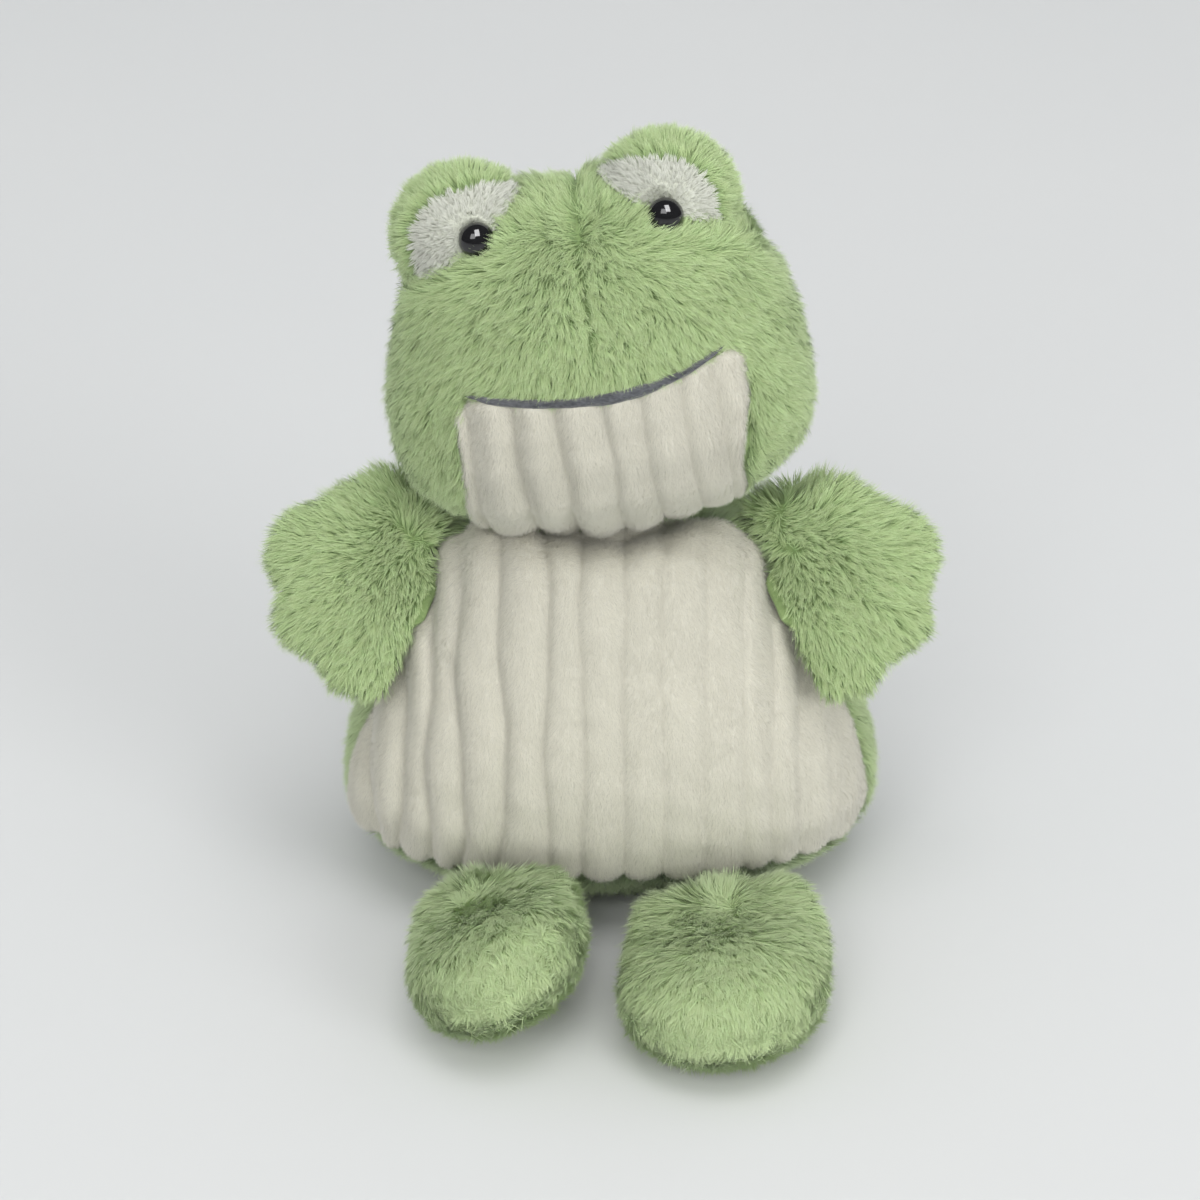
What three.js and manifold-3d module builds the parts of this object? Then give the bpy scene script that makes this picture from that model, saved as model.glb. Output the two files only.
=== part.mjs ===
// Stuffed frog, sitting on its seat with its feet out in front. Millimetres, +Z up, facing -Y.
// The origin is on the flat of the seat. Left and right are the viewer's, looking at the face.
import * as THREE from 'three';
import { mergeVertices } from 'three/addons/utils/BufferGeometryUtils.js';
import Module from 'manifold-3d';

const wasm = await Module();
wasm.setup();

// Fits shared by all the pieces
const gap = 0.3; // between two pieces that touch
const pile = 5; // fur cloth with its pile
const innerCoarseness = 1.6; // the filling's facets are this much longer than the covers'
const overrun = 400; // how far a cutting tool runs past the form
const seatTrim = 0.5; // depth of the flat that the seat and feet stand on
const leastShare = 0.2; // of a section's size, which a wall's thickness never uses up
const halvings = 24; // steps of the search for a section's height

const colours = {
  green: 0x8fbf76,
  cream: 0xefebe2,
  white: 0xf4f3f0,
  grey: 0x53565b,
  black: 0x0b0b0c,
  fibre: 0xf2f2ee,
  pellets: 0xd8d4c8,
  plastic: 0xdcdcd6,
};

const torso = {
  height: 143,
  halfWidth: 101,
  front: 75,
  back: 70,
  squareness: 2.4,
  rings: 12,
  segments: 28,
  // height, half width, front and back depth, as shares of the four sizes above
  sectionShares: [
    [0, 0.56, 0.5, 0.66],
    [0.06, 0.84, 0.68, 0.86],
    [0.18, 0.975, 0.92, 0.97],
    [0.32, 1, 1, 1],
    [0.5, 0.92, 0.96, 1],
    [0.7, 0.79, 0.84, 0.97],
    [0.87, 0.67, 0.7, 0.88],
    [0.965, 0.58, 0.58, 0.72],
    [1, 0.36, 0.36, 0.44],
  ],
};

const belly = {
  ribPitch: 14.6,
  ribHeight: 3.2,
  ribSteps: 3,
  bottom: 32,
  scallop: 3.4,
  widthShare: 0.94, // of the torso's half width, at every height
  shoulderShare: 0.8, // of the torso's height, above which the side seams run straight up
  backShare: 0.1, // of the torso's front depth, where the side seam ends at the neck
  rows: 9,
};

const seat = { halfWidth: 48, halfDepth: 33, y: 4, segments: 20 };

const pellets = { halfWidth: 55, halfDepth: 42, height: 34, y: 4, segments: 20 };

const neck = {
  x: -1,
  y: 3,
  rise: 1, // above the torso's height
  radius: 25,
  segments: 24,
  nod: [-2, 14], // degrees forward
  tilt: [-1, 9], // degrees to the right
};

const head = {
  x: -1,
  y: -8,
  rise: 67, // above the torso's height
  roll: 8,
  pitch: 10,
  yaw: 0,
  halfHeight: 65,
  halfWidth: 75,
  front: 58,
  back: 57,
  squareness: 2.15,
  rings: 12,
  segments: 30,
  // height, half width, front and back depth, as shares of the four sizes above
  sectionShares: [
    [-0.985, 0.14, 0.12, 0.12],
    [-0.93, 0.46, 0.42, 0.4],
    [-0.8, 0.7, 0.66, 0.62],
    [-0.57, 0.9, 0.87, 0.84],
    [-0.25, 0.99, 0.98, 0.97],
    [0.05, 1, 1, 1],
    [0.38, 0.92, 0.92, 0.95],
    [0.66, 0.73, 0.74, 0.79],
    [0.86, 0.49, 0.5, 0.54],
    [0.97, 0.22, 0.22, 0.25],
  ],
};

const mouth = {
  halfSpan: 43,
  width: 2.6,
  proud: 0.8,
  centreZ: 0.5,
  endLift: 5,
  endShare: 0.2, // of its width, left at the tapered ends
  steps: 8,
};

const chin = {
  halfWidth: 52,
  lowHalfWidth: 47,
  cornerDrop: 10,
  cheekShare: 0.33, // of the head's half height, down to where its sides start to close in
  lowShare: 0.75, // of the head's half height, down to where they have closed in
  bottomShare: 0.97, // of the head's half height, down to the end of the ribs
  back: 10, // how far in front of the head's middle the lower edge stops
  ribPitch: 13.4,
  ribHeight: 3,
  ribSteps: 3,
  rows: 6,
};

const mound = {
  x: 36.5,
  shift: -4, // of both mounds, to the left
  y: -8,
  z: 52,
  halfWidth: 28,
  halfDepth: 25,
  halfHeight: 27,
  segments: 14,
};

// The white patch round each eye. Its points are shares of the mound's half width and half height,
// from the mound's centre, with the first share positive towards the middle of the head.
const patch = {
  outlineShares: [
    [0.92, 0.4],
    [0.6, 0.5],
    [0.15, 0.58],
    [-0.35, 0.52],
    [-0.66, 0.25],
    [-0.7, -0.15],
    [-0.45, -0.5],
    [0.1, -0.6],
    [0.62, -0.3],
    [0.84, 0.1],
  ],
  smoothness: 1.6, // points of the seam for each point above
  backShare: 0.1, // of the mound's half depth, in front of its middle
};

const eye = {
  x: 32,
  shift: -2,
  z: 54,
  radius: 5.3,
  dome: 4.4,
  domeSteps: 5,
  sink: 2,
  shankRadius: 1.8,
  shankLength: 9.5,
  segments: 14,
};

const washer = { radius: 6.2, thickness: 1.6, segments: 14 };

// An arm lies in a tilted plane through the shoulder. Its outline runs from the seam round the
// four soft fingers: the first share is outward and the second upward, of the length and width.
const arm = {
  widthShare: 0.594, // of the torso's half width, out to the shoulder
  frontShare: 0.293, // of the torso's front depth
  heightShare: 0.902, // of the torso's height
  tilt: 36,
  swing: [-4, 40],
  reach: 61,
  width: 76,
  halfThickness: 13,
  rootHalf: 1.8,
  rootSlope: 0.36,
  seamRadius: 3.2,
  seamLength: 20,
  outlineShares: [
    [0.19, -0.36],
    [0.04, -0.12],
    [-0.07, 0.12],
    [-0.04, 0.32],
    [0.1, 0.5],
    [0.26, 0.52],
    [0.5, 0.42],
    [0.82, 0.32],
    [0.98, 0.2],
    [1, 0.02],
    [0.93, -0.09],
    [0.97, -0.24],
    [0.89, -0.37],
    [0.72, -0.43],
    [0.63, -0.53],
    [0.54, -0.585],
    [0.45, -0.56],
    [0.34, -0.6],
    [0.26, -0.52],
  ],
  centreShare: [0.52, -0.08],
};

const leg = {
  widthShare: 0.396, // of the torso's half width
  frontShare: 0.813, // of the torso's front depth
  z: 18,
  seamInset: 6, // from the middle of the root towards the middle of the seat
  seamRadius: 3.2,
  seamLength: 18,
  swing: [-70, 20],
  reach: 101,
  width: 75,
  halfThickness: 25,
  rootHalf: 2,
  rootSlope: 0.42,
  outlineShares: [
    [0.03, -0.27],
    [-0.02, 0],
    [-0.08, 0.27],
    [0.16, 0.36],
    [0.36, 0.46],
    [0.56, 0.5],
    [0.76, 0.47],
    [0.92, 0.32],
    [1, 0.1],
    [1, -0.1],
    [0.92, -0.32],
    [0.76, -0.47],
    [0.56, -0.5],
    [0.36, -0.46],
    [0.16, -0.36],
  ],
  centreShare: [0.56, 0],
};

// How each limb lies: pitch lifts the toes, roll leans the foot outward, yaw turns it outward.
const poses = {
  left: { pitch: 10, roll: -24, yaw: -2 },
  right: { pitch: 3, roll: 4, yaw: 0 },
};

const limbForm = {
  segments: 24,
  rings: 4,
  fullness: 2.4, // 2 is round in section, and more is flatter in the middle
  blend: 3, // how sharply the swelling runs into the wedge at the root
  swingSteps: 6,
  swingGap: 1.05,
  seamSegments: 12,
};

const roughness = { fur: 0.95, suede: 0.8, eye: 0.08, plastic: 0.5 };

function signedPower(value, power) {
  return Math.sign(value) * Math.abs(value) ** power;
}

function radians(degrees) {
  return THREE.MathUtils.degToRad(degrees);
}

// Joins rings of points, with a point closing each end, into one closed geometry.
function loft(rings, first, last) {
  const count = rings[0].length;
  const points = [first, ...rings.flat(), last];
  const end = points.length - 1;
  const faces = [];
  for (let i = 0; i < count; i += 1) {
    const j = (i + 1) % count;
    faces.push(0, 1 + j, 1 + i);
    faces.push(end, end - count + i, end - count + j);
    for (let k = 0; k < rings.length - 1; k += 1) {
      const low = 1 + k * count;
      const high = low + count;
      faces.push(low + i, low + j, high + j);
      faces.push(low + i, high + j, high + i);
    }
  }
  const geometry = new THREE.BufferGeometry().setFromPoints(points);
  geometry.setIndex(faces);
  return geometry;
}

// Turns a closed geometry into a solid, whichever way its faces run.
function solid(geometry, matrix = new THREE.Matrix4()) {
  const bare = geometry.clone();
  bare.deleteAttribute('normal');
  bare.deleteAttribute('uv');
  bare.applyMatrix4(matrix);
  const merged = mergeVertices(bare);
  const vertProperties = new Float32Array(merged.attributes.position.array);
  const triVerts = new Uint32Array(merged.index.array);
  if (volumeOf(vertProperties, triVerts) < 0) {
    for (let i = 0; i < triVerts.length; i += 3) {
      [triVerts[i], triVerts[i + 1]] = [triVerts[i + 1], triVerts[i]];
    }
  }
  return new wasm.Manifold(new wasm.Mesh({ numProp: 3, vertProperties, triVerts }));
}

function volumeOf(positions, indices) {
  const [a, b, c] = [new THREE.Vector3(), new THREE.Vector3(), new THREE.Vector3()];
  let total = 0;
  for (let i = 0; i < indices.length; i += 3) {
    a.fromArray(positions, 3 * indices[i]);
    b.fromArray(positions, 3 * indices[i + 1]);
    c.fromArray(positions, 3 * indices[i + 2]);
    total += a.dot(b.cross(c));
  }
  return total;
}

function geometryOf(manifold) {
  const mesh = manifold.getMesh();
  const geometry = new THREE.BufferGeometry();
  geometry.setAttribute('position', new THREE.BufferAttribute(mesh.vertProperties, 3));
  geometry.setIndex(new THREE.BufferAttribute(mesh.triVerts, 1));
  geometry.computeVertexNormals();
  return geometry;
}

function box(low, high) {
  const size = new THREE.Vector3().subVectors(high, low);
  const middle = new THREE.Vector3().addVectors(low, high).multiplyScalar(1 / 2);
  const shape = new THREE.BoxGeometry(size.x, size.y, size.z);
  return solid(shape, new THREE.Matrix4().makeTranslation(middle));
}

// Everything on one side of a plane across an axis, past a place on it.
function halfSpace(axis, place, side) {
  const low = new THREE.Vector3(-overrun, -overrun, -overrun);
  const high = new THREE.Vector3(overrun, overrun, overrun);
  (side > 0 ? low : high)[axis] = place;
  return box(low, high);
}

// Splits a solid at a plane through zero on an axis, leaving the usual gap.
function halves(manifold, axis) {
  return [
    manifold.intersect(halfSpace(axis, -gap / 2, -1)),
    manifold.intersect(halfSpace(axis, gap / 2, 1)),
  ];
}

function ball(radius, matrix, segments) {
  return solid(new THREE.SphereGeometry(radius, segments, Math.round(segments / 2)), matrix);
}

// A body of level rings whose width and depth follow the shares of its sections.
class SwellingForm {
  constructor(sizes, bottom, top) {
    this.sizes = sizes;
    this.bottom = bottom;
    this.top = top;
    const rows = sizes.sectionShares.map(([z, width, front, back]) => ({
      z: z * (sizes.halfHeight ?? sizes.height),
      width: width * sizes.halfWidth,
      front: front * sizes.front,
      back: back * sizes.back,
    }));
    this.shape = new THREE.CatmullRomCurve3(
      rows.map((row) => new THREE.Vector3(row.z, row.width, 0)), false, 'catmullrom');
    this.depth = new THREE.CatmullRomCurve3(
      rows.map((row) => new THREE.Vector3(row.front, row.back, 0)), false, 'catmullrom');
  }

  section(share) {
    const { x: z, y: width } = this.shape.getPoint(share);
    const { x: front, y: back } = this.depth.getPoint(share);
    return { z, width, front, back };
  }

  // The section at a height, found by halving.
  sectionAt(z) {
    let [low, high] = [0, 1];
    for (let i = 0; i < halvings; i += 1) {
      const middle = (low + high) / 2;
      if (this.section(middle).z < z) low = middle;
      else high = middle;
    }
    return this.section(high);
  }

  // The closed solid, drawn in all round by an inset.
  solid(inset = 0, coarseness = 1) {
    const ringCount = Math.round(this.sizes.rings / coarseness);
    const segments = Math.round(this.sizes.segments / coarseness / 2) * 2;
    const shrink = (this.top - this.bottom - 2 * inset) / (this.top - this.bottom);
    const rings = [];
    for (let i = 0; i <= ringCount; i += 1) {
      const row = this.section(i / ringCount);
      const z = this.bottom + inset + (row.z - this.bottom) * shrink;
      rings.push(this.ring(row, z, inset, segments));
    }
    const middle = (ring, z) => new THREE.Vector3(0, (ring[0].y + ring[segments / 2].y) / 2, z);
    const first = middle(rings[0], this.bottom + inset);
    const last = middle(rings[ringCount], this.top - inset);
    return solid(loft(rings, first, last));
  }

  ring(row, z, inset, segments) {
    const points = [];
    const power = 2 / this.sizes.squareness;
    for (let i = 0; i < segments; i += 1) {
      const angle = (i / segments) * Math.PI * 2;
      const depth = Math.sin(angle) < 0 ? row.front : row.back;
      const shrink = (size) => Math.max(size - inset, size * leastShare);
      points.push(new THREE.Vector3(
        shrink(row.width) * signedPower(Math.cos(angle), power),
        shrink(depth) * signedPower(Math.sin(angle), power),
        z,
      ));
    }
    return points;
  }

  // How far the front surface stands in front of the middle, seen from the front.
  frontDepth(x, row) {
    const share = Math.min(Math.abs(x) / row.width, 1);
    return row.front * (1 - share ** this.sizes.squareness) ** (1 / this.sizes.squareness);
  }
}

// How far a rib stands out at a place across the cloth, from its valley to its crest.
function ribRise(x, cloth) {
  const share = x / cloth.ribPitch - Math.floor(x / cloth.ribPitch);
  return cloth.ribHeight * Math.sqrt(Math.max(1 - (2 * share - 1) ** 2, 0));
}

// A slab whose front is the form's front with the cloth's upright ribs on it.
function ribbedSlab(form, cloth, lowZ, highZ) {
  const ribs = Math.ceil(form.sizes.halfWidth / cloth.ribPitch);
  const columns = 2 * ribs * cloth.ribSteps;
  const rings = [];
  for (let j = 0; j <= cloth.rows; j += 1) {
    const share = Math.sin((j / cloth.rows) * Math.PI / 2);
    const row = form.sectionAt(THREE.MathUtils.lerp(lowZ, highZ, share));
    const front = [];
    const back = [];
    for (let i = 0; i <= columns; i += 1) {
      const x = (i / cloth.ribSteps - ribs) * cloth.ribPitch;
      const rise = ribRise(x, cloth) - cloth.ribHeight / 2;
      const depth = Math.max(form.frontDepth(x, row) + rise, cloth.ribHeight);
      front.push(new THREE.Vector3(x, -depth, row.z));
      back.unshift(new THREE.Vector3(x, 0, row.z));
    }
    rings.push([...front, ...back]);
  }
  const first = new THREE.Vector3(0, -cloth.ribHeight / 2, rings[0][0].z);
  const last = new THREE.Vector3(0, -cloth.ribHeight / 2, rings[cloth.rows][0].z);
  return solid(loft(rings, first, last));
}

// A prism along Y with a front-view outline, from in front of everything to a back plane.
function frontPrism(points, backY) {
  const shape = new THREE.Shape(points);
  const prism = new THREE.ExtrudeGeometry(shape, { depth: overrun, bevelEnabled: false, steps: 1 });
  const turn = new THREE.Matrix4().makeRotationX(Math.PI / 2);
  turn.setPosition(0, backY, 0);
  return solid(prism, turn);
}

// Moves each point of a closed outline outward by a distance, along the mean of its two sides.
function grownOutline(points, distance) {
  const turn = THREE.ShapeUtils.isClockWise(points) ? -1 : 1;
  return points.map((point, i) => {
    const before = points[(i + points.length - 1) % points.length];
    const after = points[(i + 1) % points.length];
    const along = new THREE.Vector2().subVectors(after, before).normalize();
    return new THREE.Vector2(point.x + along.y * distance * turn, point.y - along.x * distance * turn);
  });
}

const torsoForm = new SwellingForm(torso, -seatTrim, torso.height + pile / 2);
const headForm = new SwellingForm(head, -head.halfHeight, head.halfHeight);

// The seam of the belly panel in front view, with a scallop under each rib.
function bellyOutline() {
  const points = [];
  const lowHalf = belly.widthShare * torsoForm.sectionAt(belly.bottom).width;
  const steps = 2 * Math.round(lowHalf / belly.ribPitch) * belly.ribSteps;
  for (let i = 0; i <= steps; i += 1) {
    const x = THREE.MathUtils.lerp(-lowHalf, lowHalf, i / steps);
    const drop = (ribRise(x, belly) / belly.ribHeight) * belly.scallop;
    points.push(new THREE.Vector2(x, belly.bottom - drop));
  }
  const sides = [];
  for (let i = 1; i <= belly.rows; i += 1) {
    const z = THREE.MathUtils.lerp(belly.bottom, torso.height * belly.shoulderShare, i / belly.rows);
    sides.push(new THREE.Vector2(belly.widthShare * torsoForm.sectionAt(z).width, z));
  }
  sides.push(new THREE.Vector2(sides.at(-1).x, torsoForm.top + pile));
  return [...points, ...sides, ...sides.map((point) => new THREE.Vector2(-point.x, point.y)).reverse()];
}

// The seam of the chin panel in front view, under the mouth line.
function mouthZ(x) {
  return mouth.centreZ + mouth.endLift * (x / mouth.halfSpan) ** 2;
}

function chinOutline() {
  const top = [];
  for (let i = 0; i <= mouth.steps; i += 1) {
    const x = THREE.MathUtils.lerp(mouth.halfSpan, -mouth.halfSpan, i / mouth.steps);
    top.push(new THREE.Vector2(x, mouthZ(x) - mouth.width / 2));
  }
  const side = [
    new THREE.Vector2(-(chin.halfWidth + mouth.halfSpan) / 2, mouthZ(mouth.halfSpan) - mouth.width),
    new THREE.Vector2(-chin.halfWidth, -chin.cornerDrop),
    new THREE.Vector2(-chin.halfWidth, -head.halfHeight * chin.cheekShare),
    new THREE.Vector2(-chin.lowHalfWidth, -head.halfHeight * chin.lowShare),
    new THREE.Vector2(-chin.lowHalfWidth, -head.halfHeight - pile),
  ];
  const mirrored = side.map((point) => new THREE.Vector2(-point.x, point.y)).reverse();
  return [...mirrored, ...top, ...side];
}

function mouthOutline(extra) {
  const upper = [];
  const lower = [];
  const half = mouth.halfSpan + extra;
  for (let i = 0; i <= mouth.steps; i += 1) {
    const x = THREE.MathUtils.lerp(-half, half, i / mouth.steps);
    const round = Math.sqrt(Math.max(1 - (x / half) ** 2, 0));
    const taper = THREE.MathUtils.lerp(mouth.endShare, 1, round);
    const thick = (mouth.width / 2) * taper + extra;
    upper.push(new THREE.Vector2(x, mouthZ(x) + thick));
    lower.unshift(new THREE.Vector2(x, mouthZ(x) - thick));
  }
  return [...upper, ...lower];
}

// The torso: two back and side panels, the ribbed belly, the filling and the seat's pellet bag.
const neckPlace = new THREE.Matrix4().makeTranslation(
  neck.x, neck.y, torso.height + neck.rise);
// The ball's corners clear the flats of the faceted hollow that it turns in.
const neckRoomRadius = (neck.radius + gap) / Math.cos(Math.PI / neck.segments) ** 2;
const neckRoom = ball(neckRoomRadius, neckPlace, neck.segments);

function torsoPieces() {
  const outer = torsoForm.solid(0);
  const inner = torsoForm.solid(pile, innerCoarseness);
  const outline = bellyOutline();
  const backY = -torso.front * belly.backShare;
  const opening = frontPrism(outline, backY);
  const fitted = frontPrism(grownOutline(outline, -gap), backY - gap);
  const shell = outer.subtract(inner).intersect(halfSpace('z', 0, 1));
  const grooves = seamGrooves();
  const cover = shell.subtract(opening).subtract(neckRoom).subtract(seatPrism(gap / 2))
    .subtract(grooves);
  const base = shell.intersect(seatPrism(-gap / 2));
  const ribs = ribbedSlab(torsoForm, belly, belly.bottom - 2 * belly.scallop, torso.height);
  const panel = ribs.intersect(fitted).subtract(inner).subtract(neckRoom).subtract(grooves);
  const filling = torsoForm.solid(pile + gap, innerCoarseness).subtract(neckRoom);
  const bag = pelletBag(0).intersect(torsoForm.solid(pile + gap, innerCoarseness));
  const stuffing = filling.subtract(pelletBag(gap));
  return { covers: halves(cover, 'x'), panel, base, stuffing, bag };
}

// The oval base panel's outline, as a prism through the bottom of the shell.
function seatPrism(extra) {
  const oval = new THREE.Shape();
  oval.absellipse(0, 0, seat.halfWidth + extra, seat.halfDepth + extra, 0, 2 * Math.PI);
  const depth = 3 * pile;
  const prism = new THREE.ExtrudeGeometry(oval, {
    depth, bevelEnabled: false, steps: 1, curveSegments: seat.segments });
  return solid(prism, new THREE.Matrix4().makeTranslation(0, seat.y, -depth / 3));
}

function pelletBag(extra) {
  const shape = new THREE.SphereGeometry(1, pellets.segments, pellets.segments / 2);
  const matrix = new THREE.Matrix4().makeTranslation(0, pellets.y, pile);
  matrix.scale(new THREE.Vector3(
    pellets.halfWidth + extra, pellets.halfDepth + extra, pellets.height + extra));
  return solid(shape, matrix);
}

// The head in its own place: two side panels, chin, mouth line and filling.
const headPlace = new THREE.Matrix4()
  .makeRotationFromEuler(new THREE.Euler(
    radians(-head.pitch), radians(-head.roll), radians(-head.yaw), 'ZYX'))
  .setPosition(head.x, head.y, torso.height + head.rise);
const neckInHead = neckPlace.clone().premultiply(headPlace.clone().invert());

function headPieces() {
  const outer = headForm.solid(0);
  const inner = headForm.solid(pile, innerCoarseness);
  const room = ball(neckRoomRadius, neckInHead, neck.segments);
  const chinSeam = chinOutline();
  const chinOpening = frontPrism(chinSeam, -chin.back);
  const chinFitted = frontPrism(grownOutline(chinSeam, -gap), -chin.back - gap);
  const slot = frontPrism(mouthOutline(gap), -chin.back);
  let cover = outer.subtract(inner).subtract(chinOpening).subtract(slot).subtract(room);
  for (const side of [-1, 1]) {
    cover = cover.subtract(washerRoom(side)).subtract(eyeSolid(side, gap));
  }
  const ribs = ribbedSlab(headForm, chin, -head.halfHeight * chin.bottomShare, chin.cornerDrop);
  const panel = ribs.intersect(chinFitted).subtract(inner).subtract(slot).subtract(room);
  const line = headForm.solid(-mouth.proud).intersect(frontPrism(mouthOutline(0), -chin.back))
    .subtract(inner);
  const stuffing = headForm.solid(pile + gap, innerCoarseness).subtract(room);
  return { covers: halves(cover, 'x'), panel, line, stuffing };
}

// A mound on the head with its white patch, eye and washer. The side is -1 on the left.
function moundBall(side, inset) {
  const place = new THREE.Matrix4().makeTranslation(
    mound.shift + side * mound.x, mound.y, mound.z);
  place.scale(new THREE.Vector3(
    mound.halfWidth - inset, mound.halfDepth - inset, mound.halfHeight - inset));
  return solid(new THREE.SphereGeometry(1, mound.segments, mound.segments / 2), place);
}

function patchOutline(side) {
  const curve = new THREE.SplineCurve(patch.outlineShares.map(([inward, up]) => new THREE.Vector2(
    mound.shift + side * (mound.x - inward * mound.halfWidth), mound.z + up * mound.halfHeight)));
  return curve.getPoints(Math.round(patch.smoothness * patch.outlineShares.length));
}

// An eye sits square to its mound, its axis along Y.
function eyeMatrix(side) {
  const across = (eye.shift + side * eye.x - mound.shift - side * mound.x) / mound.halfWidth;
  const up = (eye.z - mound.z) / mound.halfHeight;
  const out = Math.sqrt(1 - across ** 2 - up ** 2);
  const normal = new THREE.Vector3(
    across / mound.halfWidth, -out / mound.halfDepth, up / mound.halfHeight).normalize();
  const place = new THREE.Vector3(
    eye.shift + side * eye.x, mound.y - out * mound.halfDepth, eye.z);
  place.addScaledVector(normal, -eye.sink);
  const turn = new THREE.Quaternion().setFromUnitVectors(new THREE.Vector3(0, 1, 0), normal);
  return new THREE.Matrix4().makeRotationFromQuaternion(turn).setPosition(place);
}

// The eye button's profile: a dome on a shank, its back at zero and the shank running back.
function eyeSolid(side, extra) {
  const profile = [new THREE.Vector2(0, -eye.shankLength - extra)];
  profile.push(new THREE.Vector2(eye.shankRadius + extra, -eye.shankLength - extra));
  profile.push(new THREE.Vector2(eye.shankRadius + extra, -extra));
  profile.push(new THREE.Vector2(eye.radius + extra, -extra));
  for (let i = 1; i <= eye.domeSteps; i += 1) {
    const angle = (i / eye.domeSteps) * Math.PI / 2;
    profile.push(new THREE.Vector2(
      (eye.radius + extra) * Math.cos(angle), (eye.dome + extra) * Math.sin(angle)));
  }
  profile[profile.length - 1].x = 0;
  return solid(new THREE.LatheGeometry(profile, eye.segments), eyeMatrix(side));
}

// The washer's face, behind the cloth and clear of its hollow back.
function washerFront() {
  const hollow = washer.radius ** 2 / (mound.halfDepth - pile) / 2;
  return eye.sink - pile - 2 * gap - hollow;
}

function washerSolid(side, extra) {
  const inner = eye.shankRadius + gap - extra;
  const outer = washer.radius + extra;
  const front = washerFront() + extra;
  const back = front - washer.thickness - 2 * extra;
  const profile = [
    new THREE.Vector2(inner, back),
    new THREE.Vector2(outer, back),
    new THREE.Vector2(outer, front),
    new THREE.Vector2(inner, front),
    new THREE.Vector2(inner, back),
  ];
  return solid(new THREE.LatheGeometry(profile, washer.segments), eyeMatrix(side));
}

function moundPieces(side) {
  const seat = headForm.solid(-gap);
  const outer = moundBall(side, 0).subtract(seat);
  const inner = moundBall(side, pile);
  const outline = patchOutline(side);
  const backY = mound.y - mound.halfDepth * patch.backShare;
  const opening = frontPrism(outline, backY);
  const fitted = frontPrism(grownOutline(outline, -gap), backY - gap);
  const shell = outer.subtract(inner);
  const middle = side * gap / 2;
  const ownHalf = halfSpace('x', middle, side);
  const cover = shell.subtract(opening).intersect(ownHalf);
  const white = shell.intersect(fitted).subtract(eyeSolid(side, gap)).intersect(ownHalf);
  const stuffing = moundBall(side, pile + gap).subtract(seat)
    .subtract(eyeSolid(side, gap)).subtract(washerRoom(side)).intersect(ownHalf);
  return { cover, white, stuffing, button: eyeSolid(side, 0), ring: washerSolid(side, 0) };
}

// Room for the washer, with its middle filled.
function washerRoom(side) {
  const depth = washer.thickness + 2 * gap + pile;
  const shape = new THREE.CylinderGeometry(
    washer.radius + gap, washer.radius + gap, depth, washer.segments);
  const matrix = eyeMatrix(side).multiply(new THREE.Matrix4().makeTranslation(
    0, washerFront() - washer.thickness - gap + depth / 2, 0));
  return solid(shape, matrix);
}

// A flat stuffed limb in its own plane: X along the shares' first size and Z along the second.
// Near its seam at the root it thins to an edge, so that it can flap.
function limbSolid(sizes, inset, coarseness = 1) {
  const points = sizes.outlineShares.map(([along, across]) => new THREE.Vector3(
    along * sizes.reach, 0, across * sizes.width));
  const curve = new THREE.CatmullRomCurve3(points, true, 'catmullrom');
  const centre = new THREE.Vector3(
    sizes.centreShare[0] * sizes.reach, 0, sizes.centreShare[1] * sizes.width);
  const segments = Math.round(limbForm.segments / coarseness);
  const rim = curve.getPoints(segments).slice(0, segments);
  const shrink = 1 - (2 * inset) / Math.min(sizes.reach, sizes.width);
  const half = Math.round(limbForm.rings / coarseness);
  const rings = [];
  for (let k = -half + 1; k < half; k += 1) {
    const share = Math.cos((k / half) * Math.PI / 2);
    rings.push(rim.map((point) => limbPoint(sizes, centre, point, share * shrink, share, k, inset)));
  }
  const top = limbPoint(sizes, centre, centre, 0, 0, 1, inset);
  const bottom = limbPoint(sizes, centre, centre, 0, 0, -1, inset);
  return loft(rings, bottom, top);
}

function limbPoint(sizes, centre, rimPoint, reach, share, side, inset) {
  const point = new THREE.Vector3().lerpVectors(centre, rimPoint, reach);
  const fullness = limbForm.fullness;
  const swell = (sizes.halfThickness - inset) * (1 - share ** fullness) ** (1 / 2);
  const wedge = sizes.rootHalf + rootDistance(sizes, point) * sizes.rootSlope - inset;
  const thin = Math.max(wedge, sizes.rootHalf / 4);
  const power = limbForm.blend;
  const thickness = swell * thin / (swell ** power + thin ** power) ** (1 / power);
  point.y = -Math.sign(side) * thickness;
  return point;
}

// The distance of a point from the limb's sewn edge, in the limb's plane.
function rootDistance(sizes, point) {
  const [low, high] = rootLine(sizes);
  const along = new THREE.Vector3().subVectors(high, low).normalize();
  const offset = new THREE.Vector3(point.x, 0, point.z).sub(low);
  return Math.abs(offset.cross(along).y);
}

function rootLine(sizes) {
  return [sizes.outlineShares[0], sizes.outlineShares[2]].map(([along, across]) => new THREE.Vector3(
    along * sizes.reach, 0, across * sizes.width));
}

function limbPieces(sizes, matrix, hinge, obstacle) {
  const outer = solid(limbSolid(sizes, 0));
  const inner = solid(limbSolid(sizes, pile, innerCoarseness));
  const filling = solid(limbSolid(sizes, pile + gap, innerCoarseness));
  const shells = halves(outer.subtract(inner), 'y');
  const blocked = swung(obstacle, sizes.swing, hinge);
  const place = (manifold) => moved(manifold, matrix).subtract(blocked)
    .intersect(halfSpace('z', 0, 1)).subtract(seamRoll(sizes, hinge, gap));
  const front = moved(shells[0], matrix).subtract(blocked).intersect(halfSpace('z', 0, 1))
    .add(seamRoll(sizes, hinge, 0));
  return { front, back: place(shells[1]), stuffing: place(filling) };
}

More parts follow.
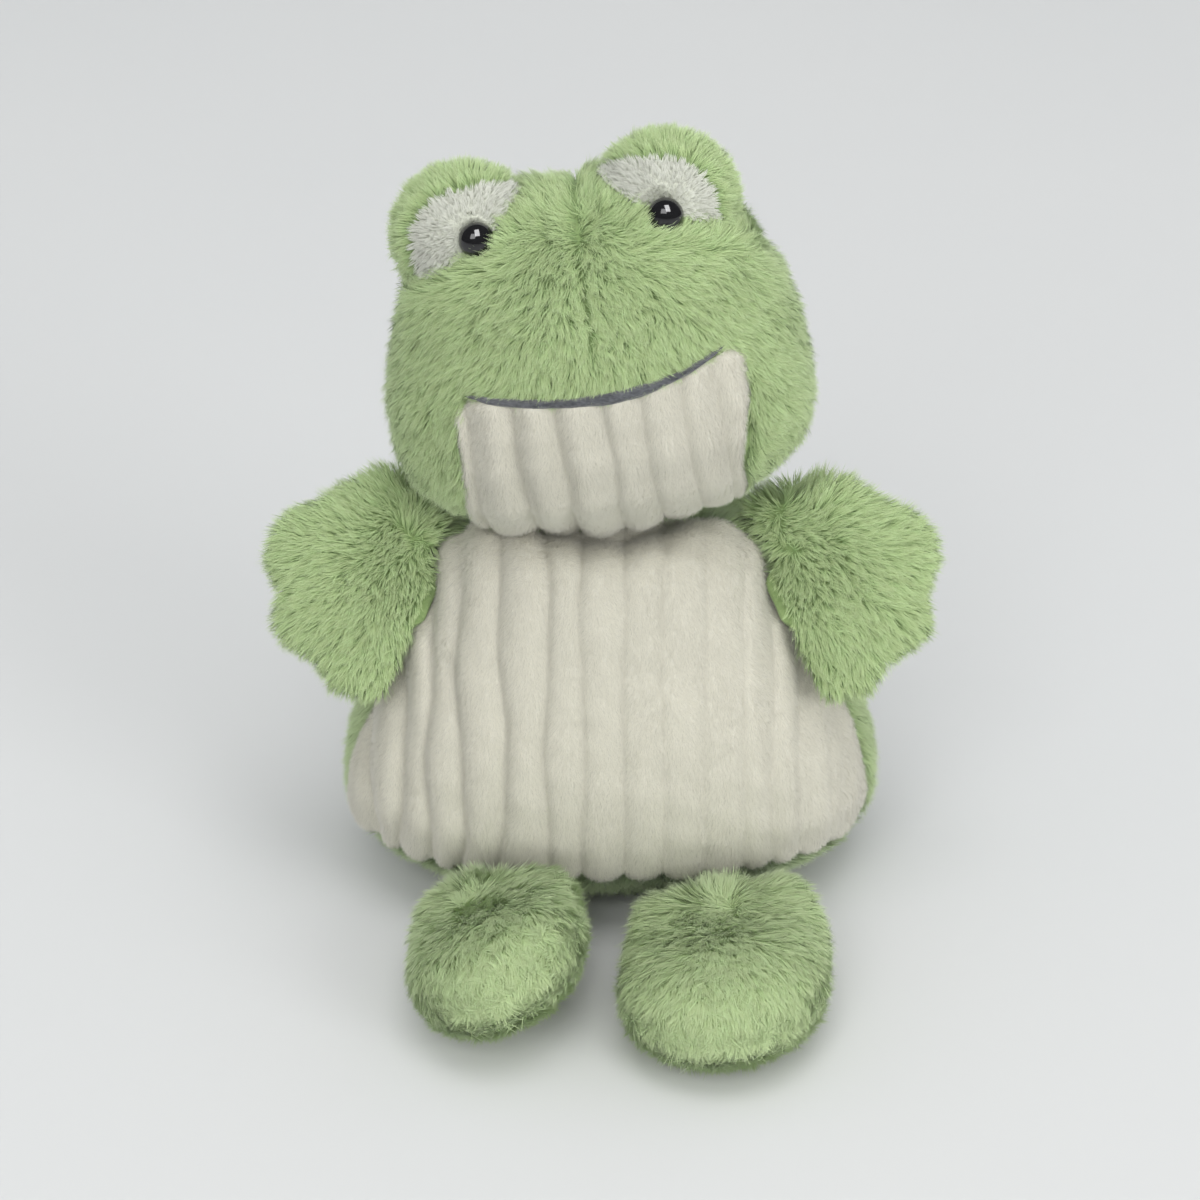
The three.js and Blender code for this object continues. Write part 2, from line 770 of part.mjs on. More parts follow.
// The rolled seam that sews a limb on. It is round about the hinge line, so it turns in its groove.
function seamRoll(sizes, hinge, extra) {
  const radius = sizes.seamRadius + extra;
  const shape = new THREE.CylinderGeometry(
    radius, radius, sizes.seamLength + 2 * extra, limbForm.seamSegments);
  const turn = new THREE.Quaternion().setFromUnitVectors(new THREE.Vector3(0, 1, 0), hinge.axis);
  return solid(shape, new THREE.Matrix4().makeRotationFromQuaternion(turn).setPosition(hinge.place));
}

function seamGrooves() {
  let grooves = seamRoll(arm, armHinge(-1), gap).add(seamRoll(arm, armHinge(1), gap));
  for (const side of [-1, 1]) grooves = grooves.add(seamRoll(leg, legHinge(side), gap));
  return grooves;
}

// The room that an obstacle takes up over the limb's whole swing, as the limb sees it.
function swung(obstacle, swing, hinge) {
  let room = obstacle;
  for (let i = 0; i <= limbForm.swingSteps; i += 1) {
    const angle = THREE.MathUtils.lerp(...swing, i / limbForm.swingSteps);
    room = room.add(moved(obstacle, turnAbout(hinge.place, hinge.axis, -angle)));
  }
  return room;
}

function turnAbout(place, axis, degrees) {
  return new THREE.Matrix4().makeTranslation(place)
    .multiply(new THREE.Matrix4().makeRotationAxis(axis, radians(degrees)))
    .multiply(new THREE.Matrix4().makeTranslation(place.clone().negate()));
}

// The head at each corner of its own motion.
function movedHead() {
  const rest = moved(headForm.solid(-limbForm.swingGap), headPlace);
  const pivot = new THREE.Vector3().setFromMatrixPosition(neckPlace);
  let room = rest;
  for (const nod of neck.nod) {
    for (const tilt of neck.tilt) {
      const turn = turnAbout(pivot, new THREE.Vector3(-1, 0, 0), nod)
        .multiply(turnAbout(pivot, new THREE.Vector3(0, 1, 0), tilt));
      room = room.add(moved(rest, turn));
    }
  }
  return room;
}

// An arm flaps forward about its sewn edge.
function armHinge(side) {
  const [low, high] = rootLine(arm).map((point) => point.applyMatrix4(armMatrix(side)));
  const axis = new THREE.Vector3().subVectors(high, low).normalize().multiplyScalar(-side);
  return { place: low.add(high).multiplyScalar(1 / 2), axis };
}

// A leg lifts and hangs about a level line across the front of the seat.
function legHinge(side) {
  return {
    place: new THREE.Vector3(
      side * (leg.widthShare * torso.halfWidth - leg.seamInset), -leg.frontShare * torso.front, leg.z),
    axis: new THREE.Vector3(-1, 0, 0),
  };
}

function moved(manifold, matrix) {
  return manifold.transform(matrix.elements);
}

// A left arm is the right arm's mirror image.
function armMatrix(side) {
  const matrix = new THREE.Matrix4().makeRotationX(radians(-arm.tilt));
  matrix.setPosition(
    side * arm.widthShare * torso.halfWidth, -arm.frontShare * torso.front,
    arm.heightShare * torso.height);
  return matrix.scale(new THREE.Vector3(side, 1, 1));
}

function legMatrix(side) {
  const pose = side < 0 ? poses.left : poses.right;
  const forward = new THREE.Matrix4().makeRotationFromEuler(new THREE.Euler(
    radians(pose.roll), radians(-pose.pitch), radians(-90 + pose.yaw), 'ZYX'));
  const upright = new THREE.Matrix4().makeRotationX(-Math.PI / 2);
  const mirror = new THREE.Matrix4().makeScale(side, 1, 1);
  const place = new THREE.Matrix4().makeTranslation(
    side * leg.widthShare * torso.halfWidth, -leg.frontShare * torso.front, leg.z);
  return place.multiply(mirror).multiply(forward).multiply(upright);
}

const frog = new THREE.Group();

function add(name, manifold, colour, rough, matrix) {
  const material = new THREE.MeshStandardMaterial({
    color: colour, roughness: rough, metalness: 0 });
  const mesh = new THREE.Mesh(geometryOf(manifold), material);
  mesh.name = name;
  if (matrix) mesh.applyMatrix4(matrix);
  frog.add(mesh);
}

function addTorso() {
  const pieces = torsoPieces();
  add('torso_left_panel', pieces.covers[0], colours.green, roughness.fur);
  add('torso_right_panel', pieces.covers[1], colours.green, roughness.fur);
  add('seat_panel', pieces.base, colours.green, roughness.fur);
  add('belly_panel', pieces.panel, colours.cream, roughness.fur);
  add('torso_stuffing', pieces.stuffing, colours.fibre, roughness.fur);
  add('pellet_bag', pieces.bag, colours.pellets, roughness.fur);
  add('neck_stuffing', ball(neck.radius, neckPlace, neck.segments), colours.fibre, roughness.fur);
}

function addHead() {
  const pieces = headPieces();
  add('head_left_panel', pieces.covers[0], colours.green, roughness.fur, headPlace);
  add('head_right_panel', pieces.covers[1], colours.green, roughness.fur, headPlace);
  add('chin_panel', pieces.panel, colours.cream, roughness.fur, headPlace);
  add('mouth_strip', pieces.line, colours.grey, roughness.suede, headPlace);
  add('head_stuffing', pieces.stuffing, colours.fibre, roughness.fur, headPlace);
}

function addEye(side, name) {
  const pieces = moundPieces(side);
  add(`eye_mound_${name}`, pieces.cover, colours.green, roughness.fur, headPlace);
  add(`eye_patch_${name}`, pieces.white, colours.white, roughness.fur, headPlace);
  add(`eye_mound_stuffing_${name}`, pieces.stuffing, colours.fibre, roughness.fur, headPlace);
  add(`eye_${name}`, pieces.button, colours.black, roughness.eye, headPlace);
  add(`eye_washer_${name}`, pieces.ring, colours.plastic, roughness.plastic, headPlace);
}

const bodyRoom = torsoForm.solid(-limbForm.swingGap - belly.ribHeight / 2);
const bodyAndHeadRoom = bodyRoom.add(movedHead());

function addLimbs(side, name) {
  const armParts = limbPieces(arm, armMatrix(side), armHinge(side), bodyAndHeadRoom);
  add(`arm_front_panel_${name}`, armParts.front, colours.green, roughness.fur);
  add(`arm_back_panel_${name}`, armParts.back, colours.green, roughness.fur);
  add(`arm_stuffing_${name}`, armParts.stuffing, colours.fibre, roughness.fur);
  const legParts = limbPieces(leg, legMatrix(side), legHinge(side), bodyRoom);
  add(`leg_top_panel_${name}`, legParts.front, colours.green, roughness.fur);
  add(`leg_sole_panel_${name}`, legParts.back, colours.green, roughness.fur);
  add(`leg_stuffing_${name}`, legParts.stuffing, colours.fibre, roughness.fur);
}

addTorso();
addHead();
for (const [side, name] of [[-1, 'left'], [1, 'right']]) {
  addEye(side, name);
  addLimbs(side, name);
}

export default frog;
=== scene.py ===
"""Looks of the plush frog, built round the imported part. Metres, +Z up, the face towards -Y."""
import math

import bpy
import bmesh
import numpy as np
from mathutils import Matrix, Vector
from mathutils.bvhtree import BVHTree
from mathutils.kdtree import KDTree


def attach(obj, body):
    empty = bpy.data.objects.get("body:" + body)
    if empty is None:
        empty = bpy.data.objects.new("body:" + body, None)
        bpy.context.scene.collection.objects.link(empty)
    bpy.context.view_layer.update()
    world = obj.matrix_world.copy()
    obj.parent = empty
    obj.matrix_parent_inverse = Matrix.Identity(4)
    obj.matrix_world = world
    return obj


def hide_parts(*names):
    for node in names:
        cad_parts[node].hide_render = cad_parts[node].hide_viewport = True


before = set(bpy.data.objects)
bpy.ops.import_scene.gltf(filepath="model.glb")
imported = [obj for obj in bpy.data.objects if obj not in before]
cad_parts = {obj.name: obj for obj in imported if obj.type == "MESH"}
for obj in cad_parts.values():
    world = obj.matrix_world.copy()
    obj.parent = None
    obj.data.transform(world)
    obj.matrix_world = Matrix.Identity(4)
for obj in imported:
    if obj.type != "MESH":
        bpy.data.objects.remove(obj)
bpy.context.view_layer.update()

MM = 0.001
SIDES = (("left", -1), ("right", 1))

def placed(name, data):
    """A new object in the scene."""
    thing = bpy.data.objects.new(name, data)
    bpy.context.scene.collection.objects.link(thing)
    return thing


# Camera

CAMERA = dict(elevation=28, distance=1150 * MM, lens=97, target=(-1 * MM, -40 * MM, 128 * MM))


def make_camera():
    data = bpy.data.cameras.new("photo_camera")
    data.lens = CAMERA["lens"]
    data.sensor_width = 36
    data.clip_start = 0.05
    camera = placed("photo_camera", data)
    tilt = math.radians(CAMERA["elevation"])
    back = Vector((0, -math.cos(tilt), math.sin(tilt)))
    camera.location = Vector(CAMERA["target"]) + back * CAMERA["distance"]
    camera.rotation_euler = back.to_track_quat("Z", "Y").to_euler()
    bpy.context.scene.camera = camera


# Materials

MATERIALS = {}


def nodes_of(name):
    """A new material's node tree, with its shader."""
    material = bpy.data.materials.new(name)
    material.use_nodes = True
    MATERIALS[name] = material
    return material.node_tree, material.node_tree.nodes["Principled BSDF"]


def feed(tree, node, values):
    """Gives inputs of a node their numbers, or the sockets that feed them."""
    for key, value in values.items():
        if isinstance(value, bpy.types.NodeSocket):
            tree.links.new(value, node.inputs[key])
        else:
            node.inputs[key].default_value = value


def add(tree, kind, values=None):
    node = tree.nodes.new("ShaderNode" + kind)
    feed(tree, node, values or {})
    return node


def ramp(tree, share, stops):
    """The colour at a share from 0 to 1 between stops."""
    node = add(tree, "ValToRGB", {"Fac": share})
    elements = node.color_ramp.elements
    while len(elements) < len(stops):
        elements.new(1)
    for element, (place, colour) in zip(elements, stops):
        element.position = place
        element.color = (*colour, 1)
    return node.outputs["Color"]


def pile_material(name, stops, spread, sheen=0.25):
    """Fibres: U of the map is a fibre's own shade, and V runs from its root to its tip."""
    tree, shader = nodes_of(name)
    uv = add(tree, "UVMap")
    uv.uv_map = "OFBake"
    split = add(tree, "SeparateXYZ", {"Vector": uv.outputs["UV"]})
    own = split.outputs["X"]
    shade = add(tree, "MapRange", {"To Min": 1 - spread, "To Max": 1 + spread, "Value": own})
    hue = add(tree, "MapRange", {"To Min": 0.5 - spread / 12, "To Max": 0.5 + spread / 12,
                                 "Value": own})
    # The ramp along V darkens each fibre towards its root: painted shade deep in the pile.
    mixed = add(tree, "HueSaturation", {
        "Hue": hue.outputs["Result"], "Value": shade.outputs["Result"],
        "Color": ramp(tree, split.outputs["Y"], stops)})
    feed(tree, shader, {"Base Color": mixed.outputs["Color"], "Roughness": 0.85,
                        "Specular IOR Level": 0.2, "Sheen Weight": sheen})


def cloth_material(name, dark, light, scale, bump, sheen=0.2, stretch=(1, 1, 1)):
    """A cloth face with mottled colour and a fine nap."""
    tree, shader = nodes_of(name)
    where = add(tree, "TexCoord").outputs["Object"]
    place = add(tree, "Mapping", {"Scale": stretch, "Vector": where}).outputs["Vector"]
    broad = add(tree, "TexNoise", {"Scale": scale / 8, "Detail": 4, "Vector": place})
    fine = add(tree, "TexNoise", {"Scale": scale, "Detail": 3, "Vector": place}).outputs["Fac"]
    halved, both = add(tree, "Math"), add(tree, "Math")
    halved.operation, both.operation = "MULTIPLY", "MULTIPLY_ADD"
    feed(tree, halved, {0: broad.outputs["Fac"], 1: 0.5})
    feed(tree, both, {0: fine, 1: 0.5, 2: halved.outputs["Value"]})
    relief = add(tree, "Bump", {"Distance": bump, "Strength": 0.6, "Height": fine})
    feed(tree, shader, {
        "Base Color": ramp(tree, both.outputs["Value"], [(0.3, dark), (0.7, light)]),
        "Normal": relief.outputs["Normal"], "Roughness": 0.9, "Specular IOR Level": 0.2,
        "Sheen Weight": sheen})


def glossy_material(name, colour, roughness, smear):
    """Moulded plastic whose gloss is faintly uneven."""
    tree, shader = nodes_of(name)
    where = add(tree, "TexCoord").outputs["Object"]
    noise = add(tree, "TexNoise", {"Scale": 900, "Detail": 3, "Vector": where}).outputs["Fac"]
    light = tuple(min(c * 1.25 + 0.002, 1) for c in colour)
    rough = add(tree, "MapRange", {"To Min": roughness, "To Max": roughness + smear,
                                   "Value": noise})
    feed(tree, shader, {"Base Color": ramp(tree, noise, [(0.3, colour), (0.8, light)]),
                        "Roughness": rough.outputs["Result"]})


# Stops from a fibre's root to its tip: the darker roots are painted shade deep in the pile.
GREEN_STOPS = [(0, (0.25, 0.35, 0.145)), (0.35, (0.36, 0.49, 0.215)),
               (0.75, (0.485, 0.61, 0.305)), (1, (0.58, 0.70, 0.41))]
# The feet's pile is the green with lighter roots and less contrast: painted light, so the tops of
# the feet, darkened by the pile's own shade, look evenly lit.
LIGHTENED_FOOT_STOPS = [(0, (0.37, 0.48, 0.22)), (0.3, (0.48, 0.61, 0.30)), (1, (0.56, 0.67, 0.385))]
CREAM_STOPS = [(0, (0.72, 0.70, 0.60)), (1, (0.76, 0.74, 0.64))]
WHITE_STOPS = [(0, (0.58, 0.595, 0.51)), (0.6, (0.68, 0.695, 0.61)), (1, (0.74, 0.75, 0.68))]

pile_material("green_pile", GREEN_STOPS, 0.14)
pile_material("arm_pile", GREEN_STOPS, 0.14)
# leg_pile is the feet's pile, with painted light on its roots.
pile_material("leg_pile", LIGHTENED_FOOT_STOPS, 0.14)
pile_material("cream_pile", CREAM_STOPS, 0.04, sheen=0.3)
pile_material("white_pile", WHITE_STOPS, 0.04, sheen=0.3)
# The green and cream cloths are the fabric under the pile, darkened to the pile's shaded roots as
# painted shade.
cloth_material("painted_shade_green_cloth", (0.20, 0.29, 0.11), (0.30, 0.41, 0.17), 900, 0.4 * MM)
cloth_material("painted_shade_cream_cloth", (0.57, 0.555, 0.475), (0.62, 0.605, 0.52), 1400, 0.25 * MM)
cloth_material("white_cloth", (0.68, 0.70, 0.60), (0.78, 0.80, 0.70), 1400, 0.25 * MM)
cloth_material("grey_suede", (0.03, 0.033, 0.038), (0.13, 0.135, 0.145), 1000, 0.9 * MM,
               sheen=0.4, stretch=(0.6, 1, 1.6))
glossy_material("eye_black", (0.006, 0.006, 0.007), 0.05, 0.05)
glossy_material("washer_plastic", (0.62, 0.62, 0.58), 0.35, 0.15)
cloth_material("stuffing", (0.72, 0.72, 0.70), (0.86, 0.86, 0.84), 500, 0.8 * MM)

lacquer = MATERIALS["eye_black"].node_tree.nodes["Principled BSDF"]
lacquer.inputs["Coat Weight"].default_value = 0.3
lacquer.inputs["Coat Roughness"].default_value = 0.03


# Meshes

def make_object(name, verts, faces, material, uvs=None, normals=None):
    """An object of one face size. uvs is per vertex, for the fibres' map."""
    verts = np.asarray(verts, np.float32)
    faces = np.asarray(faces, np.int32)
    mesh = bpy.data.meshes.new(name)
    mesh.vertices.add(len(verts))
    mesh.vertices.foreach_set("co", verts.ravel())
    size = faces.shape[1]
    mesh.loops.add(faces.size)
    mesh.loops.foreach_set("vertex_index", faces.ravel())
    mesh.polygons.add(len(faces))
    mesh.polygons.foreach_set("loop_start", np.arange(0, faces.size, size, dtype=np.int32))
    mesh.polygons.foreach_set("loop_total", np.full(len(faces), size, np.int32))
    mesh.polygons.foreach_set("use_smooth", np.ones(len(faces), bool))
    mesh.update(calc_edges=True)
    if uvs is not None:
        layer = mesh.uv_layers.new(name="OFBake")
        layer.data.foreach_set("uv", np.asarray(uvs, np.float32)[faces.ravel()].ravel())
    if normals is not None:
        mesh.normals_split_custom_set_from_vertices(normals.tolist())
    mesh.materials.append(MATERIALS[material])
    return placed(name, mesh)


def share_of(values):
    """Values held between 0 and 1."""
    return np.clip(values, 0, 1)


def bell(values, middle, width):
    return np.exp(-((values - middle) / width) ** 2)


def unit(vectors):
    return vectors / np.maximum(np.linalg.norm(vectors, axis=-1, keepdims=True), 1e-12)


def vertex_normals(verts, faces):
    a, b, c = (verts[faces[:, i]] for i in range(3))
    cross = np.cross(b - a, c - a)
    total = np.zeros_like(verts)
    for i in range(3):
        for k in range(3):
            total[:, k] += np.bincount(faces[:, i], cross[:, k], len(verts))
    return unit(total)


def edges_of(faces):
    pairs = np.sort(np.vstack([faces[:, [0, 1]], faces[:, [1, 2]], faces[:, [2, 0]]]), axis=1)
    return np.unique(pairs, axis=0)


def neighbour_mean(values, edges):
    """The mean of each point's neighbours along the edges."""
    low, high = edges.T
    total = len(values)
    count = np.bincount(edges.ravel(), minlength=total)
    flat = values.reshape(total, -1)
    mean = [(np.bincount(low, column[high], total) + np.bincount(high, column[low], total)) / count
            for column in flat.T]
    return np.stack(mean, 1).reshape(values.shape)


def smoothed(verts, edges, steps):
    """Smooths away facets and ribs, and keeps the size."""
    for _ in range(steps):
        for pull in (0.5, -0.52):
            verts = verts + pull * (neighbour_mean(verts, edges) - verts)
    return verts


def sphere_of(divisions):
    bm = bmesh.new()
    bmesh.ops.create_icosphere(bm, subdivisions=divisions, radius=1)
    verts = np.array([v.co[:] for v in bm.verts])
    faces = np.array([[v.index for v in f.verts] for f in bm.faces])
    bm.free()
    return verts, faces


def triangles_of(node):
    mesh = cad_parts[node].data
    mesh.calc_loop_triangles()
    verts = np.array([vertex.co[:] for vertex in mesh.vertices])
    return verts, np.array([triangle.vertices[:] for triangle in mesh.loop_triangles])


def tree_of(verts, faces):
    return BVHTree.FromPolygons(verts.tolist(), faces.tolist())


FAR = 0.4  # from where rays are sent at a form
SLIT = 1.2 * MM  # a point this much deeper than its neighbours lies in a slit


def wrapped(nodes, axes, halves, divisions, steps):
    """A closed skin round some CAD nodes: rays onto their outside, with slits closed and facets
    smoothed. axes is the form's own frame, and halves its half sizes in it."""
    all_verts, all_faces, base = [], [], 0
    for node in nodes:
        verts, faces = triangles_of(node)
        all_verts.append(verts)
        all_faces.append(faces + base)
        base += len(verts)
    tree = tree_of(np.vstack(all_verts), np.vstack(all_faces))
    ball, faces = sphere_of(divisions)
    turn = np.array(axes.to_3x3())
    centre = np.array(axes.translation)
    rays = unit((ball * halves) @ turn.T)
    reach = np.empty(len(rays))
    for i, ray in enumerate(rays):
        hit = tree.ray_cast(Vector(centre + ray * FAR), Vector(-ray), FAR)
        reach[i] = FAR - hit[3] if hit[0] is not None else 0
    edges = edges_of(faces)
    for _ in range(10):
        near = neighbour_mean(reach, edges)
        reach = np.where(reach < near - SLIT, near, reach)
    verts = centre + rays * reach[:, None]
    if axes.determinant() < 0:
        faces = faces[:, ::-1]
    return smoothed(verts, edges, steps), faces


# The frames of the pieces

def moved(x, y, z):
    return Matrix.Translation(Vector((x, y, z)) * MM)


def turned(degrees, axis):
    return Matrix.Rotation(math.radians(degrees), 4, axis)


def mirrored(side):
    return Matrix.Diagonal((side, 1, 1, 1))


HEAD = moved(-1, -8, 210) @ turned(-8, "Y") @ turned(-10, "X")
ARM_PLACE = dict(root=(60, -22, 129), tilt=36)
LEG_PLACE = dict(root=(40, -61, 18), pitch={-1: 10, 1: 3}, roll={-1: -24, 1: 4},
                 yaw={-1: -2, 1: 0})


def arm_frame(side):
    x, y, z = ARM_PLACE["root"]
    return moved(side * x, y, z) @ turned(-ARM_PLACE["tilt"], "X") @ mirrored(side)


def leg_frame(side):
    x, y, z = LEG_PLACE["root"]
    pitch, roll, yaw = (LEG_PLACE[key][side] for key in ("pitch", "roll", "yaw"))
    return (moved(side * x, y, z) @ mirrored(side) @ turned(yaw - 90, "Z") @ turned(-pitch, "Y")
            @ turned(roll, "X") @ turned(-90, "X"))


def into(matrix, points):
    """World points in a frame of their own, in millimetres."""
    inverse = np.array(matrix.inverted())
    return (points @ inverse[:3, :3].T + inverse[:3, 3]) / MM


def out_of(matrix, points):
    forward = np.array(matrix)
    return (points * MM) @ forward[:3, :3].T + forward[:3, 3]


def turned_out(matrix, vectors):
    return vectors @ np.array(matrix)[:3, :3].T


# Fibres

def wave(points, lengths, seed):
    """A smooth pseudo-noise field from -1 to 1 in world millimetres."""
    rng = np.random.default_rng(seed)
    total = np.zeros(len(points))
    for length in lengths:
        for _ in range(3):
            way = unit(rng.normal(size=3))
            total += np.sin(points @ way / length * 2 * math.pi + rng.uniform(0, 2 * math.pi))
    return total / (len(lengths) * 2)


def unrest(points, lengths, seed, share):
    """A wandering direction at each point."""
    return np.stack([wave(points / MM, lengths, seed + k) for k in range(3)], 1) * share


def scatter(verts, faces, per_mm2, rng, keep=None):
    """Points spread over a skin by area: places and normals. keep(points) gives shares to keep."""
    a, b, c = (verts[faces[:, i]] for i in range(3))
    areas = np.linalg.norm(np.cross(b - a, c - a), axis=1) / 2 / MM ** 2
    count = int(areas.sum() * per_mm2)
    which = np.searchsorted(np.cumsum(areas), rng.uniform(0, areas.sum(), count))
    which = np.minimum(which, len(faces) - 1)
    u, v = rng.uniform(size=(2, count))
    over = u + v > 1
    u, v = np.where(over, 1 - u, u), np.where(over, 1 - v, v)
    weights = np.stack([1 - u - v, u, v], 1)[:, :, None]
    normals = vertex_normals(verts, faces)
    corners = faces[which]
    points = (verts[corners] * weights).sum(1)
    outward = unit((normals[corners] * weights).sum(1))
    if keep is not None:
        kept = rng.uniform(size=count) < keep(points)
        points, outward = points[kept], outward[kept]
    return points, outward


def nearest(points, centres):
    tree = KDTree(len(centres))
    for i, centre in enumerate(centres):
        tree.insert(centre, i)
    tree.balance()
    return np.array([tree.find(point)[1] for point in points])


def grow(points, outward, flow, length, lean, tuft, gather, width, seed, rows=2, spread=0.2,
         soften=0.8, ease=1.0):
    """Tapered, curved fibres in tufts. flow is each root's combing direction, lean the angle from
    upright in degrees at root and tip, tuft the tufts' spacing and gather how far tips close up.
    ease turns the fibres upright where it is below 1."""
    rng = np.random.default_rng(seed)
    count = len(points)
    chosen = rng.permutation(count)[:max(int(count / max(tuft, 1)), 1)]
    heads = chosen[nearest(points, points[chosen])]

    def course(roots, out, comb, size, tilt):
        along = unit(comb - out * (comb * out).sum(1, keepdims=True))
        spots = [roots]
        for i in range(rows):
            share = (i + 0.5) / rows
            angle = np.radians(tilt[:, 0] + (tilt[:, 1] - tilt[:, 0]) * share)[:, None]
            step = out * np.cos(angle) + along * np.sin(angle)
            spots.append(spots[-1] + step * size[:, None] / rows)
        return spots

    noise = rng.normal(size=(count, 3))
    tuft_noise = rng.normal(size=(count, 3))[heads]
    flow = unit(flow) + tuft_noise * spread * 1.3 + noise * spread
    tilt = np.stack([np.full(count, lean[0]) + rng.normal(0, 6, count),
                     np.full(count, lean[1]) + rng.normal(0, 12, count)[heads]
                     + rng.normal(0, 6, count)], 1) * (np.ones(count) * ease)[:, None]
    size = length * rng.uniform(0.8, 1.1, count) * rng.uniform(0.85, 1.12, count)[heads]
    mine = course(points, outward, flow, size, tilt)
    leader = course(points[heads], outward[heads], flow[heads], size, tilt[heads])
    spots = []
    for i, (own_spot, lead_spot) in enumerate(zip(mine, leader)):
        pull = gather * (i / rows) ** 1.3
        spots.append(own_spot + (lead_spot - own_spot) * pull)
    roll = rng.normal(0, 0.45, count)[:, None]
    verts, uvs, shading = [], [], []
    shade = 0.5 * rng.uniform(size=count) + 0.5 * rng.uniform(size=count)[heads]

    def mapped(offset, row):
        return np.stack([shade * 0.9 + offset, np.full(count, row / rows)], 1)

    for i, spot in enumerate(spots):
        way = unit(spots[min(i + 1, rows)] - spots[max(i - 1, 0)])
        across = unit(np.cross(way, outward) + 1e-9)
        across = across * np.cos(roll) + np.cross(way, across) * np.sin(roll)
        face = unit(np.cross(across, way))
        normal = unit(outward * soften + face * (1 - soften))
        if i < rows:
            half = width * (1 - 0.75 * (i / rows) ** 2) / 2
            verts += [spot - across * half, spot + across * half]
            uvs += [mapped(0.02, i), mapped(0.07, i)]
            shading += [normal, normal]
        else:
            verts.append(spot)
            uvs.append(mapped(0.045, i))
            shading.append(normal)
    per = 2 * rows + 1
    pattern = []
    for i in range(rows - 1):
        low = 2 * i
        pattern += [[low, low + 1, low + 3], [low, low + 3, low + 2]]
    pattern.append([2 * rows - 2, 2 * rows - 1, 2 * rows])
    verts = np.stack(verts, 1).reshape(-1, 3)
    uvs = np.stack(uvs, 1).reshape(-1, 2)
    shading = np.stack(shading, 1).reshape(-1, 3)
    faces = (np.arange(count)[:, None, None] * per + np.array(pattern)[None]).reshape(-1, 3)
    return verts, faces, uvs, shading, per, len(pattern)


FLOOR = 0.2 * MM  # no fibre reaches below this
PIECE_LIMIT = 195_000  # triangles in one piece


def fur(name, body, material, grown):
    """One piece, or several where it would be too large, of grown fibres."""
    verts, faces, uvs, shading, per, tris = grown
    verts[:, 2] = np.maximum(verts[:, 2], FLOOR)
    count = len(verts) // per
    parts = max(math.ceil(count / (PIECE_LIMIT // tris)), 1)
    bounds = [round(i * count / parts) for i in range(parts + 1)]
    for i, (low, high) in enumerate(zip(bounds, bounds[1:])):
        own = slice(low * per, high * per)
        piece = make_object(name if parts == 1 else f"{name}_{i + 1}", verts[own],
                            faces[low * tris:high * tris] - low * per, material, uvs[own],
                            shading[own])
        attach(piece, body)


def skin(name, body, verts, faces, material, replaced):
    """A sheet or closed skin that stands for CAD nodes."""
    piece = make_object(name, verts, faces, material)
    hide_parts(*replaced)
    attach(piece, body)


# Cloth

PRESSURE = 3
CLOTH_FRAMES = 20


def puffed(name, verts, faces, held, cap):
    """The skin blown up from inside by cloth simulation, by at most cap, while its seams
    hold."""
    mesh = bpy.data.meshes.new(name + "_cloth")
    mesh.from_pydata(verts.tolist(), [], faces.tolist())
    thing = placed(name + "_cloth", mesh)
    scene = bpy.context.scene
    group = thing.vertex_groups.new(name="seams")
    for i in np.nonzero(held > 0.02)[0].tolist():
        group.add([i], float(held[i]), "REPLACE")
    cloth = thing.modifiers.new("cloth", "CLOTH")
    cloth.settings.vertex_group_mass = "seams"
    cloth.settings.use_pressure = True
    cloth.settings.uniform_pressure_force = PRESSURE
    cloth.settings.effector_weights.gravity = 0
    cloth.settings.quality = 4
    for frame_number in range(1, CLOTH_FRAMES + 1):
        scene.frame_set(frame_number)
    ready = thing.evaluated_get(bpy.context.evaluated_depsgraph_get())
    blown = np.empty(len(verts) * 3, np.float32)
    ready.data.vertices.foreach_get("co", blown)
    shift = blown.reshape(-1, 3).astype(float) - verts
    size = np.linalg.norm(shift, axis=1, keepdims=True)
    bpy.data.objects.remove(thing)
    bpy.data.meshes.remove(mesh)
    scene.frame_set(1)
    return verts + shift * np.minimum(1, cap / np.maximum(size, 1e-9))


def band(distance, width):
    """1 on a line, falling to 0 at a distance from it."""
    return share_of(1 - np.abs(distance) / width)


def inside(outline, x, z):
    """Which points lie inside a closed outline."""
    found = np.zeros(len(x), bool)
    ends = np.roll(outline, -1, axis=0)
    for (ax, az), (bx, bz) in zip(outline, ends):
        crosses = (az > z) != (bz > z)
        if az != bz:
            found ^= crosses & (x < (bx - ax) * (z - az) / (bz - az) + ax)
    return found


def spline(points, count):
    """A closed smooth curve through points."""
    points = np.asarray(points, float)
    total = len(points)
    out = []
    for k in range(count):
        t = k / count * total
        i, f = int(t), t - int(t)
        p0, p1, p2, p3 = (points[(i + j) % total] for j in (-1, 0, 1, 2))
        out.append(0.5 * (2 * p1 + (p2 - p0) * f + (2 * p0 - 5 * p1 + 4 * p2 - p3) * f ** 2
                          + (3 * p1 - p0 - 3 * p2 + p3) * f ** 3))
    return np.array(out)


def rounded(to_side, to_end, radius):
    """Distance in from a panel's edge, with its corners rounded."""
    return radius - np.hypot(np.maximum(radius - to_side, 0), np.maximum(radius - to_end, 0))


def grid_faces(rows, columns):
    i, j = np.meshgrid(np.arange(columns - 1), np.arange(rows - 1))
    low = (j * columns + i).ravel()
    return np.stack([low, low + 1, low + columns + 1, low + columns], 1)


def split_quads(quads):
    return np.vstack([quads[:, [0, 1, 2]], quads[:, [0, 2, 3]]])


def onto(tree, starts, ways):
    """Where rays meet a skin, with the skin's normal there."""
    places, normals = [], []
    for start, way in zip(starts.tolist(), ways.tolist()):
        hit, normal, _, _ = tree.ray_cast(Vector(start), Vector(way))
        if hit is None:
            hit, normal, _, _ = tree.find_nearest(Vector(start))
        places.append(hit[:])
        normals.append(normal[:])
    return np.array(places), np.array(normals)


